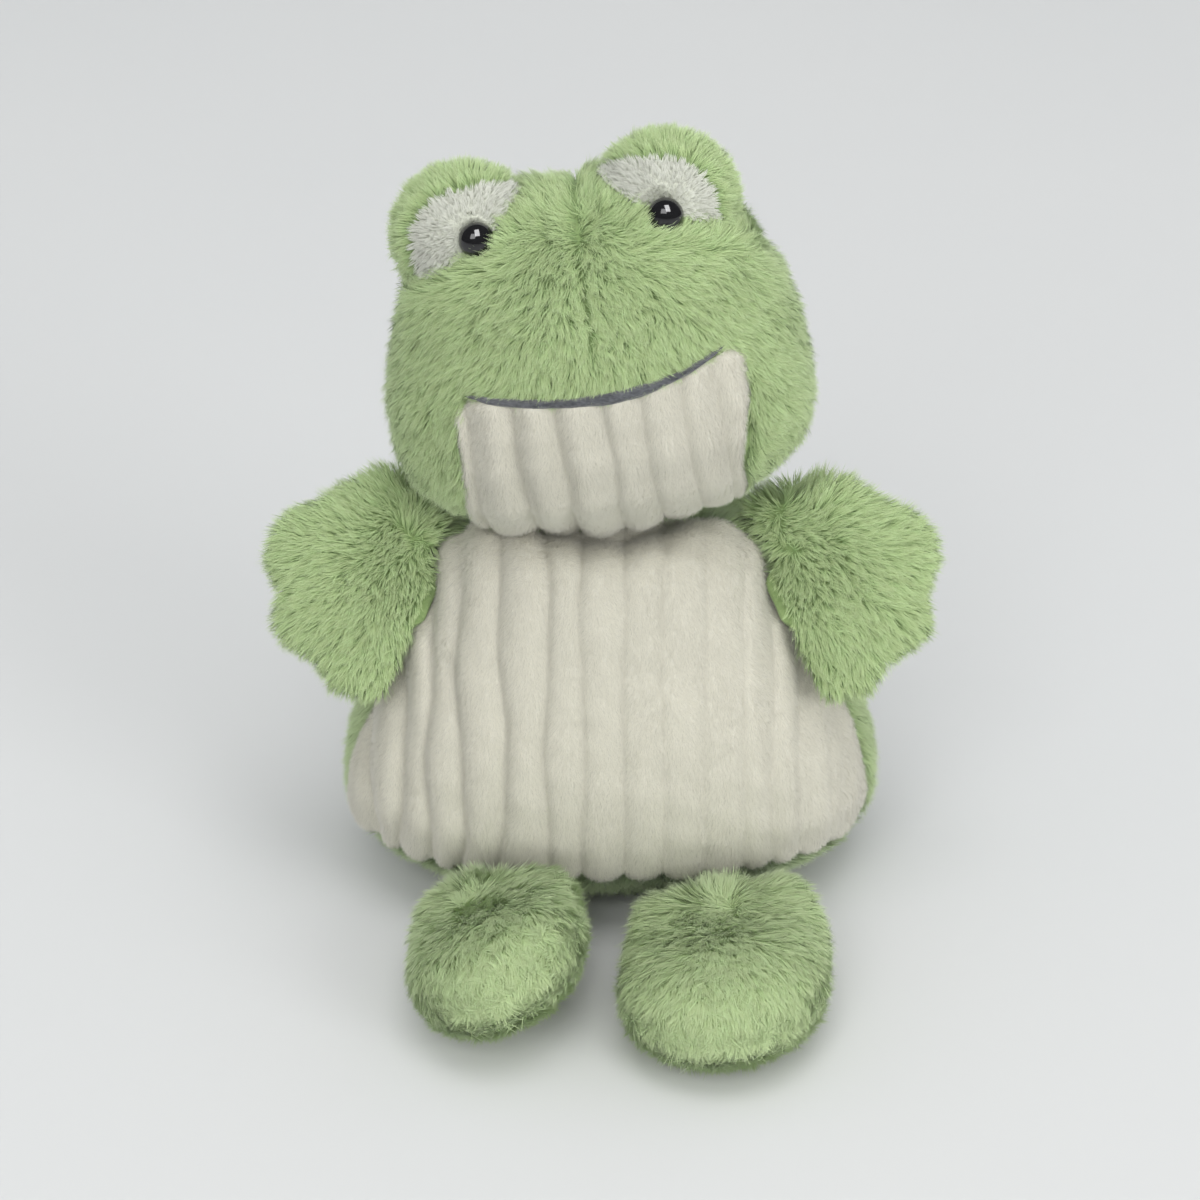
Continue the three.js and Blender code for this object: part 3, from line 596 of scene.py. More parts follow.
def ribs(x, valleys, height, wobble):
    """How far a rib stands out at places across the cloth."""
    lines = valleys[:, None] + wobble
    rise = np.zeros(len(x))
    for low, high in zip(lines[:-1], lines[1:]):
        share = (x - low) / (high - low)
        within = (share >= 0) & (share < 1)
        full = np.minimum((high - low) / 14, 1.1) ** 0.6
        shape = np.maximum(1 - np.abs(2 * share - 1) ** 2.2, 0)
        rise = np.where(within, height * full * shape, rise)
    return rise


TUCK = -5.0


def wandering(run, panel, seed):
    """How far each valley strays sideways along its run."""
    phases = np.random.default_rng(seed).uniform(0, 6.28, (len(panel["valleys"]), 2))
    (wide, long), (fine, short) = panel["strays"]
    return np.array([wide * np.sin(run / long + a) + fine * np.sin(run / short + b)
                     for a, b in phases])


def raised(places, quads, outward, rise, edge):
    """A sheet lifted off its skin by the ribs' rise, with its edge rounded down into the skin."""
    normals = vertex_normals(places, split_quads(quads))
    if (normals * outward).sum() < 0:
        normals = -normals
    round_edge = np.sqrt(1 - (1 - share_of(edge)) ** 2)
    depth = TUCK + (rise - TUCK) * round_edge
    return places + normals * depth[:, None] * MM


# Every pile: the lean at root and tip, the tufts' spacing and gather, and a fibre's width.
# Densities are roots per square millimetre, and lengths are along the fibre.
PILE_DEPTH = 4.2 * MM
FUR = ((40, 71), 9, 0.36, 0.22 * MM)
FOOT_FUR = ((68, 80), 12, 0.35, 0.25 * MM)
PATCH_FUR = ((12, 42), 14, 0.4, 0.22 * MM)
CREAM_FUR = ((42, 74), 1, 0, 0.14 * MM)
DENSITY = dict(torso=4.6, head=5.4, mound=5.6, patch=6.0, cream=7.5)
LENGTH = dict(torso=8.6, seat=5.0, head=8.4, mound=6.8, patch=4.0, cream=2.6)


def cream_pile(name, body, sheet, quads, centre, rng, comb, seed):
    """The short pile of a ribbed sheet. comb gives its direction at points in millimetres."""
    faces = split_quads(quads)
    if (vertex_normals(sheet, faces) * unit(sheet - centre)).sum() < 0:
        faces = faces[:, ::-1]
    points, normals = scatter(sheet, faces, DENSITY["cream"], rng)
    fur(name, body, "cream_pile",
        grow(points, normals, comb(points / MM), LENGTH["cream"] * MM, *CREAM_FUR, seed, rows=1,
             soften=0.96))


# Torso

TORSO = dict(centre=(0, 0, 70), halves=(101, 73, 72), base=(3, 5), narrowing=0.1, lean=3,
             chest=8.5, top=138)
TOP_LIMIT = math.radians(72)
BELLY = dict(bottom=27.5, scallop=4, share=0.98, shoulder=114, front=-5, top=150, rise=74,
             valleys=np.array([-110, -97, -84, -73, -62.5, -51.5, -36, -20, -7.5, 7.5, 21.5, 37, 51,
                               61.5, 72, 84, 97, 110.0]), height=2.6,
             strays=((1.2, 15), (0.4, 6.5)), rounding=16, roll=5.5)


def belly_limits(tree):
    """The half angle that the belly panel covers at each height, seen from the torso's axis."""
    heights = np.linspace(26, BELLY["top"] + 1, 60)
    angles = np.radians(np.linspace(0, 89, 60))
    grid_z, grid_a = np.meshgrid(heights, angles, indexing="ij")
    ways = np.stack([np.sin(grid_a), -np.cos(grid_a), 0 * grid_a], -1).reshape(-1, 3)
    starts = np.stack([0 * grid_z, 0 * grid_z, grid_z * MM], -1).reshape(-1, 3) + ways * 0.3
    hits, _ = onto(tree, starts, -ways)
    hits = hits.reshape(60, 60, 3) / MM
    limits, widths = [], hits[:, :, 0].max(1)
    shoulder = BELLY["share"] * np.interp(BELLY["shoulder"], heights, widths)
    for row, width, z in zip(hits, widths, heights):
        if z > BELLY["shoulder"] + 2:
            limits.append(limits[-1])
            continue
        most = BELLY["share"] * width if z < BELLY["shoulder"] else shoulder
        fine = (row[:, 0] < most) & (row[:, 1] < BELLY["front"])
        limits.append(angles[np.nonzero(fine)[0].max()])
    limits = np.convolve(np.pad(limits, 2, mode="edge"), np.ones(5) / 5, mode="valid")
    return heights, limits


def belly_sheet(verts, faces):
    """The ribbed belly panel on the smooth torso, with rounded, scalloped edges."""
    tree = tree_of(verts, faces)
    heights, limits = belly_limits(tree)
    rows, columns = 96, 220
    share, t = np.linspace(-1, 1, columns), np.linspace(0, 1, rows)
    start_angle = share * np.interp(BELLY["bottom"], heights, limits)
    way = np.stack([np.sin(start_angle), -np.cos(start_angle), 0 * start_angle], 1)
    start = way * 0.3 + np.array([0, 0, BELLY["bottom"] * MM])
    base, _ = onto(tree, start, -way)
    still = np.zeros((len(BELLY["valleys"]), columns))
    scallop = ribs(base[:, 0] / MM, BELLY["valleys"], 1, still) * BELLY["scallop"]
    low = BELLY["bottom"] + 1.5 - scallop
    turn_row = 0.72
    climb = share_of(t / turn_row)[:, None]
    z = low[None] + (BELLY["shoulder"] + 2 - low[None]) * climb
    rise_angle = np.radians(BELLY["rise"]) * share_of((t - turn_row) / (1 - turn_row))
    rise_angle = rise_angle[:, None] + 0 * z
    limit = np.interp(z, heights, limits)
    limit += (TOP_LIMIT - limit) * share_of(rise_angle / math.radians(40))
    angle = share[None] * limit
    ways = np.stack([np.sin(angle) * np.cos(rise_angle), -np.cos(angle) * np.cos(rise_angle),
                     np.sin(rise_angle)], -1).reshape(-1, 3)
    starts = np.stack([0 * z, 0 * z, z * MM], -1).reshape(-1, 3) + ways * 0.3
    places, _ = onto(tree, starts, -ways)
    quads = grid_faces(rows, columns)
    x = places[:, 0] / MM
    run = (z + np.degrees(rise_angle)).ravel()
    creased = 0.5 - 0.5 * np.tanh((x + 20) / 25)
    wobble = wandering(run, BELLY, 5) * (0.35 + creased)
    rise = ribs(x, BELLY["valleys"], BELLY["height"], wobble) * (0.5 + 0.95 * creased)
    rise += 0.25 * wave(places / MM, (30, 12), 3) - 2.2
    sides = (limit - np.abs(angle)).ravel() * np.hypot(places[:, 0], places[:, 1]) / MM
    ends = run - low[None].repeat(rows, 0).ravel()
    edge = rounded(sides, ends, BELLY["rounding"]) / BELLY["roll"]
    return raised(places, quads, ways, rise, edge), quads


def torso():
    verts, faces = wrapped(
        ["torso_left_panel", "torso_right_panel", "seat_panel", "belly_panel", "torso_stuffing",
         "neck_stuffing"], moved(*TORSO["centre"]), np.array(TORSO["halves"]) * MM, 6, 26)
    x, y, z = (verts / MM).T
    sag = share_of((110 - z) / 40)
    chest = share_of((z - 98) / 25) * bell(np.hypot(x, y), 44, 17) * share_of((8 - y) / 20)
    verts = verts + np.stack([TORSO["lean"] * sag, -2 * chest, TORSO["chest"] * chest], 1) * MM
    tuck = 1 - TORSO["narrowing"] * share_of(1 - z / 28) ** 1.2
    base = np.array(TORSO["base"]) * MM
    verts[:, :2] = (verts[:, :2] - base) * tuck[:, None] + base
    outward = vertex_normals(verts, faces)
    back_seam = band(verts[:, 0], 3 * MM) * (verts[:, 1] > 0)
    held = share_of(back_seam + (verts[:, 2] < 6 * MM) + (verts[:, 2] > TORSO["top"] * MM))
    base = puffed("torso", verts - outward * 1.0 * MM, faces, held, 3 * MM) + outward * 0.4 * MM
    sheet, quads = belly_sheet(base, faces)
    under = base - vertex_normals(base, faces) * PILE_DEPTH
    skin("torso_skin", "torso", under, faces, "painted_shade_green_cloth",
         ["torso_left_panel", "torso_right_panel", "seat_panel", "torso_stuffing", "pellet_bag"])
    skin("belly_ribs", "torso", sheet, quads, "painted_shade_cream_cloth", ["belly_panel"])
    rng = np.random.default_rng(11)
    tree = tree_of(base, faces)
    heights, limits = belly_limits(tree)

    def green_only(points):
        x, y, z = (points / MM).T
        angle = np.abs(np.arctan2(x, -y))
        limit = np.interp(z, heights, limits)
        limit += (TOP_LIMIT - limit) * share_of((z - BELLY["shoulder"] - 2) / 16)
        covered = (z > BELLY["bottom"] - 1) & (angle < limit - 0.02) & (y < 0)
        inner = (z > 128) & (y < 14) & (np.abs(x) < 34)
        return np.where(covered | inner | (z > BELLY["top"] + 4), 0, np.where(z < 7, 0.35, 1))

    points, normals = scatter(under, faces, DENSITY["torso"], rng, green_only)
    x, y, z = (points / MM).T
    flow = np.stack([x / 90, 0.35 + y / 200, np.full(len(x), -1.0)], 1)
    flow[:, :2] += unit(points[:, :2]) * 0.4
    seam = band(x, 7) * (y > 0)
    flow[:, 0] += np.sign(x) * seam * 1.5
    flow += unrest(points, (45, 22), 21, 0.35)
    length = np.where(z < 8, LENGTH["seat"], LENGTH["torso"] - 2 * seam) * MM
    fur("torso_fur", "torso", "green_pile",
        grow(points, normals, flow, length, *FUR, 31))
    cream_pile("belly_pile", "torso", sheet, quads, np.array([0, 0, 0.08]), rng,
               lambda p: np.stack([0.3 * wave(p, (25,), 41), 0 * p[:, 1],
                                   -1 + 0.5 * wave(p, (25,), 42)], 1), 51)


# Head

MOUTH = dict(half=43, width=3.8, centre=-3.0, lift={-1: 4.6, 1: 9.5})
CHIN = dict(half=52, low={-1: 53.5, 1: 46.5}, corner=-12, cheek=-30, lower=-52, back=-6,
            overlap=2.6, turn=92, height=2.6, strays=((0.7, 11), (0.2, 5)), rounding=10, roll=5,
            valleys=np.array([-62, -46.3, -29.7, -15, 1.5, 14.9, 28.9, 41, 55.0]))
MOUND = dict(x=36.5, shift=-4, y=-8, z=52, halves=np.array([28, 25, 27]),
             slump={-1: np.array([0.4, 0, -1.8]), 1: np.array([-2.4, 0, 0.3])})
PATCH = np.array([[0.98, 0.42], [0.62, 0.48], [0.2, 0.54], [-0.2, 0.48], [-0.46, 0.22],
                  [-0.52, -0.15], [-0.38, -0.5], [0.1, -0.7], [0.7, -0.45], [0.95, 0.1]])
PATCH_GROWTH = 1.12
EYE = dict(x=32, shift=-2, z=51.2, radius=6.1, dome=4.9, sink=2)
HEAD_HALVES = (75, 58, 65)
JOWL = 0.06
BROW = 4.0


def mouth_z(x):
    lift = np.where(x > 0, MOUTH["lift"][1], MOUTH["lift"][-1])
    return MOUTH["centre"] + lift * (x / MOUTH["half"]) ** 2


def chin_half(z, side):
    """How far the chin panel reaches from the middle at a height in the head's frame."""
    low = CHIN["low"][side]
    below = z - mouth_z(side * MOUTH["half"])
    wide = CHIN["half"] + side
    return np.interp(below, [-90, CHIN["lower"], CHIN["cheek"], CHIN["corner"], -5, 1.5],
                     [low, low, wide, wide, wide - 3, MOUTH["half"]])


def chin_outline():
    """Where the head has no fur: the chin panel, less what the fur laps over at its sides."""
    points = [(x, float(mouth_z(x)) + MOUTH["width"] / 2)
              for x in np.linspace(-MOUTH["half"], MOUTH["half"], 17)]
    for side in (1, -1):
        heights = mouth_z(side * MOUTH["half"]) - np.array([4, 9, 20, 34, 48, 86])
        edge = [(side * float(chin_half(z, side) - CHIN["overlap"]), float(z)) for z in heights]
        points = points + (edge if side > 0 else edge[::-1])
    return np.array(points)


def chin_sheet(verts, faces):
    """The ribbed chin panel, from the mouth down and back under the head."""
    tree = tree_of(verts, faces)
    rows, columns = 70, 130
    share, t = np.linspace(-1, 1, columns), np.linspace(0, 1, rows)
    angle = np.radians(CHIN["turn"] * t)[:, None] + 0 * share[None]
    z_guess = -60 * np.sin(angle)
    half = np.where(share[None] > 0, chin_half(z_guess, 1), chin_half(z_guess, -1))
    x = share[None] * half
    top_lift = np.arctan2(mouth_z(x) - 0.5, 57)
    angle = angle - top_lift * (1 - t[:, None])
    ways = np.stack([0 * x, -np.cos(angle), -np.sin(angle)], -1).reshape(-1, 3)
    starts = np.stack([x, 0 * x, 0 * x], -1).reshape(-1, 3) + ways * 200
    places, _ = onto(tree, out_of(HEAD, starts), -turned_out(HEAD, ways))
    quads = grid_faces(rows, columns)
    wobble = wandering(into(HEAD, places)[:, 2], CHIN, 6)
    rise = ribs(x.ravel(), CHIN["valleys"], CHIN["height"], wobble)
    rise *= 0.85 - 0.2 * np.tanh(x.ravel() / 25)
    rise += 0.2 * wave(places / MM, (24, 10), 8) - 2.0
    sides = (half - np.abs(x)).ravel()
    ends = ((angle - angle[:1]) * 60).ravel()
    under = ((angle[-1:] - angle) * 60).ravel()
    edge = np.minimum(rounded(sides, ends + 2.8, CHIN["rounding"]), under) / CHIN["roll"]
    return raised(places, quads, turned_out(HEAD, ways), rise, edge), quads


def mouth_piece(tree):
    """The strip along the mouth: a soft roll that tapers to its ends."""
    columns, rows = 90, 11
    share, t = np.linspace(-1, 1, columns), np.linspace(-1, 1, rows)
    half = MOUTH["half"] + 2
    x = share[None] * half + 0 * t[:, None]
    bulge = 1 + 0.14 * np.sin(x / 7.0) + 0.2 * bell(x, 6, 16)
    wide = MOUTH["width"] / 2 * np.maximum(1 - share[None] ** 2, 0) ** 0.45 * bulge + 0.15
    z = mouth_z(x) + t[:, None] * wide
    starts = np.stack([x, 0 * x - 200, z], -1).reshape(-1, 3)
    ways = np.tile([0, 1.0, 0], (x.size, 1))
    places, normals = onto(tree, out_of(HEAD, starts), turned_out(HEAD, ways))
    rise = -3.2 + 4.4 * np.sqrt(np.maximum(1 - t[:, None] ** 2, 0)) * (0.55 + 0.45 * np.minimum(
        1, (1 - np.abs(share[None])) * 6))
    return places + normals * rise.reshape(-1, 1) * MM, grid_faces(rows, columns)


def mound_frame(side):
    centre = Vector((MOUND["shift"] + side * MOUND["x"], MOUND["y"], MOUND["z"])) * MM
    return HEAD @ Matrix.Translation(centre)


def eye_frame(side):
    """Y is out of the mound, and the origin is the back of the dome."""
    a, b, c = MOUND["halves"]
    across = (EYE["shift"] + side * EYE["x"] - MOUND["shift"] - side * MOUND["x"]) / a
    up = (EYE["z"] - MOUND["z"]) / c
    out = math.sqrt(1 - across ** 2 - up ** 2)
    normal = Vector((across / a, -out / b, up / c)).normalized()
    place = Vector((EYE["shift"] + side * EYE["x"], MOUND["y"] - out * b, EYE["z"]))
    place -= normal * EYE["sink"]
    turn = Vector((0, 1, 0)).rotation_difference(normal).to_matrix().to_4x4()
    return HEAD @ Matrix.Translation(place * MM) @ turn


def patch_outline(side):
    """The white patch in the head's frame."""
    a, _, c = MOUND["halves"]
    points = PATCH * np.array([a, c]) * PATCH_GROWTH
    points = np.stack([MOUND["shift"] + side * (MOUND["x"] - points[:, 0]),
                       MOUND["z"] + points[:, 1]], 1)
    return spline(points, 60) + MOUND["slump"][side][[0, 2]]


def eye_dome(side, name):
    """A glossy button with a rolled rim."""
    profile = [(0.0, -1.2), (EYE["radius"] * 0.9, -1.2), (EYE["radius"] * 1.02, -0.6)]
    steps = 16
    for i in range(steps + 1):
        angle = i / steps * math.pi / 2
        profile.append((EYE["radius"] * math.cos(angle) ** 0.9, EYE["dome"] * math.sin(angle)))
    around = 64
    verts, faces = [], []
    for i in range(around):
        angle = i / around * 2 * math.pi
        verts += [(r * math.cos(angle), y, r * math.sin(angle)) for r, y in profile]
    count = len(profile)
    for i in range(around):
        low, high = i * count, (i + 1) % around * count
        faces += [(low + k, low + k + 1, high + k + 1, high + k) for k in range(count - 1)]
    verts = out_of(eye_frame(side), np.array(verts))
    piece = make_object(f"eye_dome_{name}", verts, np.array(faces), "eye_black")
    clean = bmesh.new()
    clean.from_mesh(piece.data)
    bmesh.ops.remove_doubles(clean, verts=clean.verts, dist=1e-6)
    bmesh.ops.recalc_face_normals(clean, faces=clean.faces)
    clean.to_mesh(piece.data)
    clean.free()
    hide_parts(f"eye_{name}")
    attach(piece, "head")


def off_tree(points, tree, least):
    """Which points lie outside a closed skin, by at least a distance."""
    out = []
    for point in points.tolist():
        spot, normal, _, _ = tree.find_nearest(Vector(point))
        out.append((Vector(point) - spot).dot(normal) > least)
    return np.array(out)


def head():
    verts, faces = wrapped(
        ["head_left_panel", "head_right_panel", "chin_panel", "mouth_strip", "head_stuffing",
         "neck_stuffing"], HEAD, np.array(HEAD_HALVES) * MM, 6, 22)
    local = into(HEAD, verts)
    local[:, 0] *= 1 + bell(local[:, 2], -34, 22) * JOWL
    local[:, 0] -= 1.8 * share_of((30 - local[:, 2]) / 30)
    verts = out_of(HEAD, local)
    outward = vertex_normals(verts, faces)
    line = band(local[:, 0], 3.2)
    mouth_line = band(local[:, 2] - mouth_z(local[:, 0]), 3) * (local[:, 1] < 0)
    held = share_of(line * ((local[:, 1] > 0) | (local[:, 2] > 25))
                    + mouth_line * (np.abs(local[:, 0]) < MOUTH["half"]))
    base = puffed("head", verts - outward * 1.0 * MM, faces, held, 3 * MM) + outward * 0.4 * MM
    normals = vertex_normals(base, faces)
    brow = np.zeros(len(base))
    for _, side in SIDES:
        own = into(mound_frame(side), base) - MOUND["slump"][side]
        away = (np.linalg.norm(own / MOUND["halves"], axis=1) - 1) * MOUND["halves"][0]
        brow += bell(np.maximum(away, 0), 0, 8)
    base = base + normals * np.minimum(brow, 1)[:, None] * BROW * MM
    normals = vertex_normals(base, faces)
    crease = band(local[:, 0], 6) ** 2 * share_of((local[:, 2] - 8) / 20)
    base = base - normals * crease[:, None] * 1.0 * MM
    outer_tree = tree_of(base, faces)
    under = base - vertex_normals(base, faces) * PILE_DEPTH
    skin("head_skin", "head", under, faces, "painted_shade_green_cloth",
         ["head_left_panel", "head_right_panel", "head_stuffing"])
    sheet, quads = chin_sheet(base, faces)
    skin("chin_ribs", "head", sheet, quads, "painted_shade_cream_cloth", ["chin_panel"])
    strip, strip_quads = mouth_piece(outer_tree)
    skin("mouth_roll", "head", strip, strip_quads, "grey_suede", ["mouth_strip"])
    rng = np.random.default_rng(12)
    outline = chin_outline()

    def green_only(points):
        spots = into(HEAD, points)
        chin = inside(outline, spots[:, 0], spots[:, 2]) & (spots[:, 1] < CHIN["back"] - 1)
        hidden = np.zeros(len(points), bool)
        for _, side in SIDES:
            own = into(mound_frame(side), points) / MOUND["halves"]
            hidden |= (own ** 2).sum(1) < 0.6
        return np.where(chin | hidden, 0, 1)

    points, normals = scatter(under, faces, DENSITY["head"], rng, green_only)
    x, y, z = into(HEAD, points).T
    flow = np.stack([x / 55, y / 120 + 0.1, -1 + 0.35 * (z > 45)], 1)
    top = share_of((z - 40) / 20)
    flow[:, 2] += top * 0.8
    flow[:, 1] += top * 0.5
    seam = band(x, 5) * ((y > 0) | (z > 8))
    flow[:, 0] += np.sign(x) * seam * 0.8
    lip = band(z - mouth_z(x), 9) * (y < 0)
    flow[:, 0] += np.sign(x) * lip * 0.4
    flow = turned_out(HEAD, unit(flow))
    for _, side in SIDES:
        towards = np.array(mound_frame(side).translation) - points
        near = bell(np.linalg.norm(towards, axis=1) / MM, 24, 9)
        flow += unit(towards) * (near * (y < 5) * 1.6)[:, None]
    flow += unrest(points, (40, 20), 24, 0.38)
    length = (LENGTH["head"] - 1.2 * seam - 1.5 * lip) * MM
    fur("head_fur", "head", "green_pile",
        grow(points, normals, flow, length, *FUR, 32))
    cream_pile("chin_pile", "head", sheet, quads, np.array(HEAD.translation), rng,
               lambda p: np.stack([0.3 * wave(p, (25,), 43), 0 * p[:, 1], 0 * p[:, 1] - 1], 1), 52)
    for name, side in SIDES:
        mound(name, side, tree_of(under, faces), rng)
        eye_dome(side, name)


def mound(name, side, head_tree, rng):
    matrix = mound_frame(side)
    verts, faces = wrapped(
        [f"eye_mound_{name}", f"eye_patch_{name}", f"eye_mound_stuffing_{name}"],
        matrix, MOUND["halves"] * MM, 5, 8)
    slump = turned_out(HEAD, MOUND["slump"][side]) * MM
    outward = vertex_normals(verts, faces)
    under = verts + slump - outward * PILE_DEPTH
    spots = into(HEAD, under)
    middle = spots[faces].mean(1)
    outline = patch_outline(side)
    white = inside(outline, middle[:, 0], middle[:, 2]) & (middle[:, 1] < MOUND["y"] - 2)
    skin(f"mound_skin_{name}", "head", under, faces[~white], "painted_shade_green_cloth",
         [f"eye_mound_{name}", f"eye_mound_stuffing_{name}"])
    lifted = under + outward * 0.3 * MM
    skin(f"patch_skin_{name}", "head", lifted, faces[white], "white_cloth",
         [f"eye_patch_{name}"])
    eye_place = np.array(eye_frame(side).translation)
    points, normals = scatter(under, faces[~white], DENSITY["mound"], rng)
    kept = off_tree(points, head_tree, 0.5 * MM)
    points, normals = points[kept], normals[kept]
    flow = unit(points - eye_place) + turned_out(HEAD, np.array([[0, 0.25, 0]]))
    flow += unrest(points, (25,), 27, 0.35)
    fur(f"mound_fur_{name}", "head", "green_pile",
        grow(points, normals, flow, LENGTH["mound"] * MM, *FUR, 33 + side))
    points, normals = scatter(lifted, faces[white], DENSITY["patch"], rng)
    clear = np.linalg.norm(points - eye_place, axis=1) > 5.0 * MM
    kept = clear & off_tree(points, head_tree, 0.2 * MM)
    points, normals = points[kept], normals[kept]
    flow = unit(points - eye_place) + unrest(points, (18,), 61, 0.3)
    fur(f"patch_fur_{name}", "head", "white_pile",
        grow(points, normals, flow, LENGTH["patch"] * MM, *PATCH_FUR, 36 + side, soften=0.85))


# Neck, arms and legs

NECK = dict(centre=(-1, 3, 144), halves=(24, 23.5, 22))


def neck():
    ball, faces = sphere_of(4)
    verts = np.array(NECK["centre"]) * MM + ball * np.array(NECK["halves"]) * MM
    verts += unit(ball) * (wave(verts / MM, (20,), 71) * 0.6 * MM)[:, None]
    skin("neck_skin", "neck", verts, faces, "painted_shade_green_cloth", ["neck_stuffing"])


# root is two points of a limb's sewn edge in its own plane, thin and pull_in make its skin
# smaller than the solids, and its fur runs out from crown and stands up around parting.
ARM = dict(centre=(32, 0, -6), halves=(34, 13, 40), root=((11.6, -27.4), (-4.3, 9.1)), thin=0.66,
           pull_in=3.6, density=5.0, length=8.8, crown=(6, 16), spread=(30, 30), droop=-0.05,
           parting=(4, 8), calm=32, least=0.55, fur=FUR, seed=81)
LEG = dict(centre=(56, 0, 0), halves=(52, 24, 38), root=((3, -20.3), (-8.1, 20.3)), thin=0.89,
           pull_in=2.2, density=5.2, length=8.6, crown=(24, 0), spread=(45, 34), droop=-0.1,
           parting=(24, 0), calm=12, least=0.35, fur=FOOT_FUR, seed=91)
SHOULDER = {-1: 0, 1: 11}
FOOT = {-1: dict(reach=0.96, across=1.1, lead=0.5, wide=0.87, top=0.10, lift=5.5),
        1: dict(reach=1.035, across=0.4, lead=4.0, wide=1.0, top=0.14, lift=5.0)}


def shoulder(side, spots, loose):
    """The arm's upper root corner drawn in over the shoulder, and the arm lifted a little."""
    corner = share_of((spots[:, 2] - 12) / 18) * share_of((22 - spots[:, 0]) / 22)
    spots[:, 0] -= SHOULDER[side] * corner
    spots[:, 2] += 2 * loose + 0.27 * SHOULDER[side] * corner
    return spots


def foot(side, spots, loose):
    """The foot sized and shifted, with its top kept wide and lifted up to the belly."""
    own = FOOT[side]
    top = bell(spots[:, 0], 22, 18)
    spots[:, 2] *= 1 + (own["wide"] - 1) * loose + own["top"] * top
    spots[:, 0] *= own["reach"]
    lead = own["lead"] * share_of((85 - spots[:, 0]) / 50)
    spots[:, 2] += (own["across"] + lead) * loose * side
    spots[:, 1] -= own["lift"] * bell(spots[:, 0], 18, 18) * share_of(-spots[:, 1] / 8)
    return spots


def limb(kind, name, side, matrix, panels, form, slump):
    """A stuffed limb. slump shapes it in its own frame, with loose from 0 at its root to 1."""
    nodes = [f"{kind}_{panel}_{name}" for panel in panels]
    verts, faces = wrapped(nodes, matrix @ moved(*form["centre"]),
                           np.array(form["halves"]) * MM, 5, 8)
    middle = np.array(form["centre"])[[0, 2]]
    low, high = np.array(form["root"])
    along = unit(high - low)
    across = np.array([along[1], -along[0]])
    if across @ (middle - low) < 0:
        across = -across
    spots = into(matrix, verts)
    distance = (spots[:, [0, 2]] - low) @ across
    loose = share_of((distance - 2) / 16)
    held = share_of(share_of(1 - distance / 8) + band(spots[:, 1], 1.2) * 0.6)
    inner = verts - vertex_normals(verts, faces) * 0.6 * MM
    spots = into(matrix, puffed(f"{kind}_{name}", inner, faces, held, 2 * MM))
    spots[:, [0, 2]] -= unit(spots[:, [0, 2]] - middle) * (form["pull_in"] * loose)[:, None]
    spots[:, 1] *= 1 - (1 - form["thin"]) * loose
    under = out_of(matrix, slump(side, spots, loose))
    body = f"{kind}_{name}"
    skin(f"{kind}_skin_{name}", body, under, faces, "painted_shade_green_cloth", nodes)
    seed = form["seed"] + side
    points, normals = scatter(under, faces, form["density"], np.random.default_rng(seed))
    spots = into(matrix, points)
    distance = (spots[:, [0, 2]] - low) @ across
    kept = (distance > 1) & (points[:, 2] > 1 * MM)
    points, normals, spots, distance = (v[kept] for v in (points, normals, spots, distance))
    plane = spots[:, [0, 2]]
    out = (plane - form["crown"]) / form["spread"]
    flow = turned_out(matrix, np.stack([out[:, 0], 0 * distance, out[:, 1]], 1))
    flow += np.array([0, 0, form["droop"]]) + unrest(points, (30, 16), seed + 1, 0.35)
    size = form["length"] * np.clip(0.7 + distance / 40, 0.7, 1) * MM
    apart = np.linalg.norm(plane - form["parting"], axis=1)
    fur(f"{kind}_fur_{name}", body, f"{kind}_pile",
        grow(points, normals, flow, size, *form["fur"], seed + 9,
             ease=np.clip(apart / form["calm"], form["least"], 1)))


def limbs():
    for name, side in SIDES:
        limb("arm", name, side, arm_frame(side), ("front_panel", "back_panel", "stuffing"), ARM,
             shoulder)
        limb("leg", name, side, leg_frame(side), ("top_panel", "sole_panel", "stuffing"), LEG,
             foot)


# Studio

def floor():
    """A level floor that curves up into a backdrop far behind."""
    radius, depth, rise, half, steps = 0.8, 2.2, 2.4, 3.5, 16
    profile = [(-half, 0.0), (depth - radius, 0.0)]
    for i in range(1, steps + 1):
        angle = i / steps * math.pi / 2
        profile.append((depth - radius + radius * math.sin(angle),
                        radius - radius * math.cos(angle)))
    profile.append((depth, rise))
    verts = [(x, y, z) for y, z in profile for x in (-half, half)]
    faces = [(2 * i, 2 * i + 1, 2 * i + 3, 2 * i + 2) for i in range(len(profile) - 1)]
    thing = make_object("studio_floor", np.array(verts), np.array(faces), "studio_paper")


def area_light(name, place, aim, power, width, height):
    data = bpy.data.lights.new(name, "AREA")
    data.shape = "RECTANGLE"
    data.size, data.size_y = width, height
    data.energy = power
    lamp = placed(name, data)
    lamp.location = place
    way = Vector(aim) - Vector(place)
    lamp.rotation_euler = way.to_track_quat("-Z", "Y").to_euler()
    return lamp


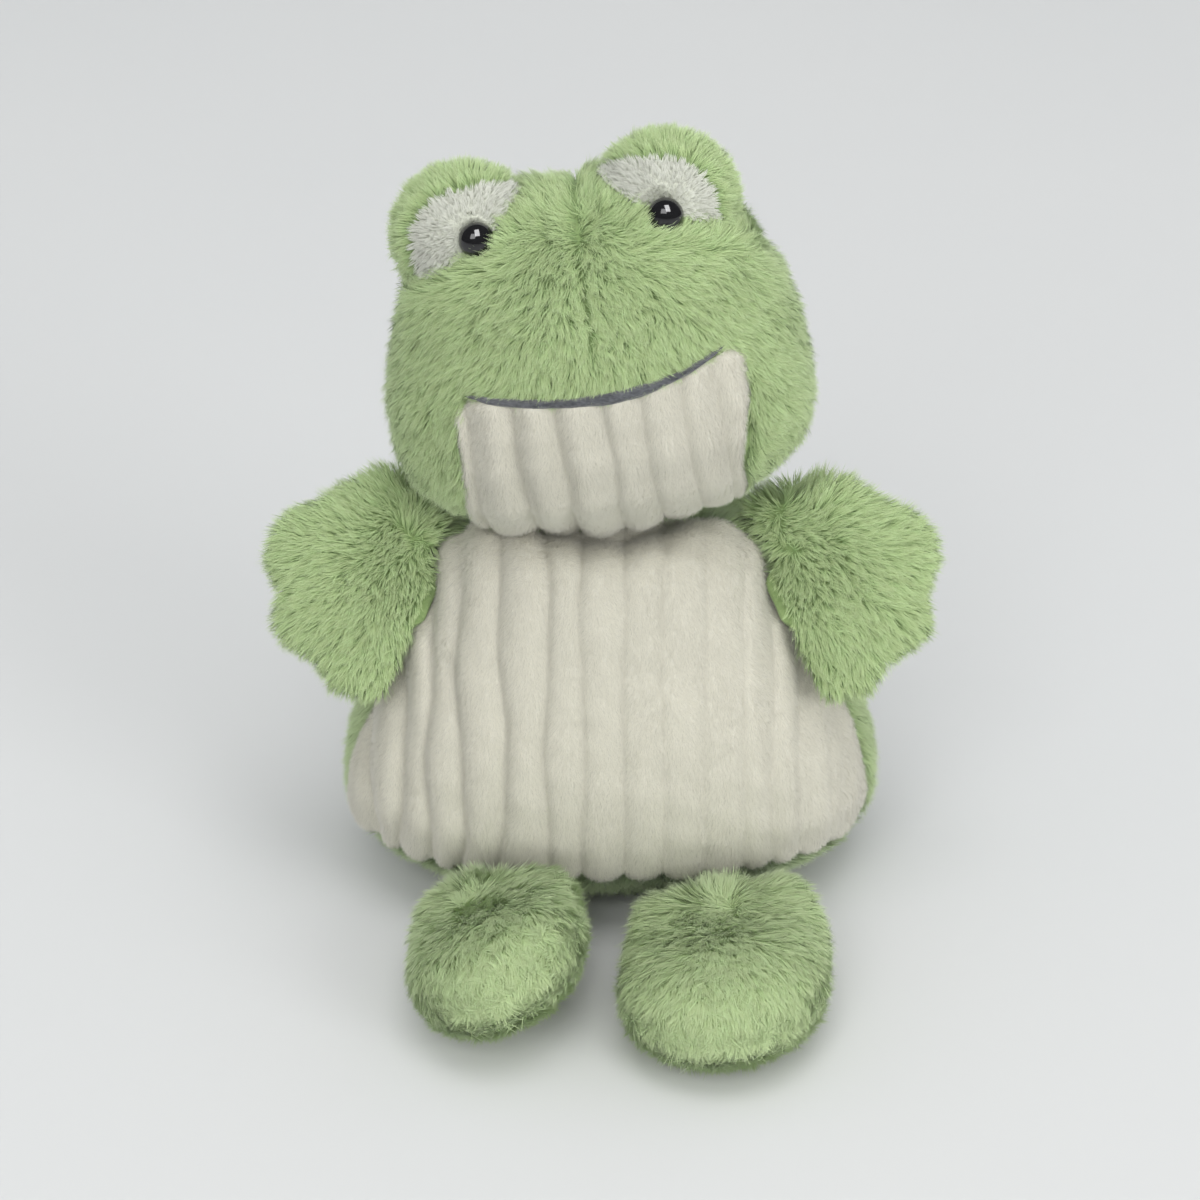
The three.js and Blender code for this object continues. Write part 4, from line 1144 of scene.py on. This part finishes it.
def paper():
    """The floor's pale paper, darker under the lights, where it would be too bright."""
    tree, shader = nodes_of("studio_paper")
    where = add(tree, "TexCoord").outputs["Object"]
    noise = add(tree, "TexNoise", {"Scale": 1.5, "Vector": where}).outputs["Fac"]
    depth = add(tree, "SeparateXYZ", {"Vector": where}).outputs["Y"]
    dimmed = add(tree, "MapRange", {"From Min": -2.6, "From Max": -0.4, "To Min": 0.3,
                                    "To Max": 1, "Value": depth})
    shaded = add(tree, "HueSaturation", {
        "Color": ramp(tree, noise, [(0.2, (0.63, 0.64, 0.64)), (0.8, (0.655, 0.66, 0.655))]),
        "Value": dimmed.outputs["Result"]})
    feed(tree, shader, {"Base Color": shaded.outputs["Color"], "Roughness": 0.9})


def surroundings():
    """A soft sky that lights, a plain grey that the camera sees and a dim one in reflections."""
    world = bpy.data.worlds.new("studio")
    bpy.context.scene.world = world
    world.use_nodes = True
    tree = world.node_tree
    lit = tree.nodes["Background"]
    feed(tree, lit, {"Color": (0.97, 0.985, 1, 1), "Strength": 0.64})
    seen = add(tree, "Background", {"Color": (0.665, 0.675, 0.675, 1)})
    dim = add(tree, "Background", {"Color": (0.12, 0.12, 0.12, 1)})
    path = add(tree, "LightPath")
    unseen = add(tree, "MixShader", {"Fac": path.outputs["Is Glossy Ray"],
                                     1: lit.outputs["Background"], 2: dim.outputs["Background"]})
    either = add(tree, "MixShader", {"Fac": path.outputs["Is Camera Ray"],
                                     1: unseen.outputs["Shader"], 2: seen.outputs["Background"]})
    feed(tree, tree.nodes["World Output"], {"Surface": either.outputs["Shader"]})


def studio():
    paper()
    floor()
    surroundings()
    aim = (0, -0.03, 0.14)
    area_light("key_light", (-1.05, -4.11, 3.08), aim, power=90, width=2.55, height=2.55)
    fill = area_light("fill_light", (3.0, -3.29, 1.58), aim, power=84, width=1.95, height=2.7)
    top = area_light("top_light", (0.15, -1.33, 4.28), aim, power=54, width=2.7, height=2.4)
    fill.visible_glossy = top.visible_glossy = False
    catch = area_light("catch_light", (0.28, -1.2, 2.0), (0, -0.07, 0.25), power=60, width=0.9,
                       height=1.8)
    catch.visible_diffuse = catch.visible_transmission = catch.visible_volume_scatter = False
    bpy.context.scene.view_settings.view_transform = "Standard"


def finish_cad():
    """What stays of the CAD gets its own finish."""
    for name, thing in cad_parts.items():
        kind = "washer_plastic" if name.startswith("eye_washer") else "stuffing"
        if not thing.material_slots:
            thing.data.materials.append(MATERIALS[kind])
        for slot in thing.material_slots:
            slot.material = MATERIALS[kind]


make_camera()
studio()
finish_cad()
torso()
head()
neck()
limbs()
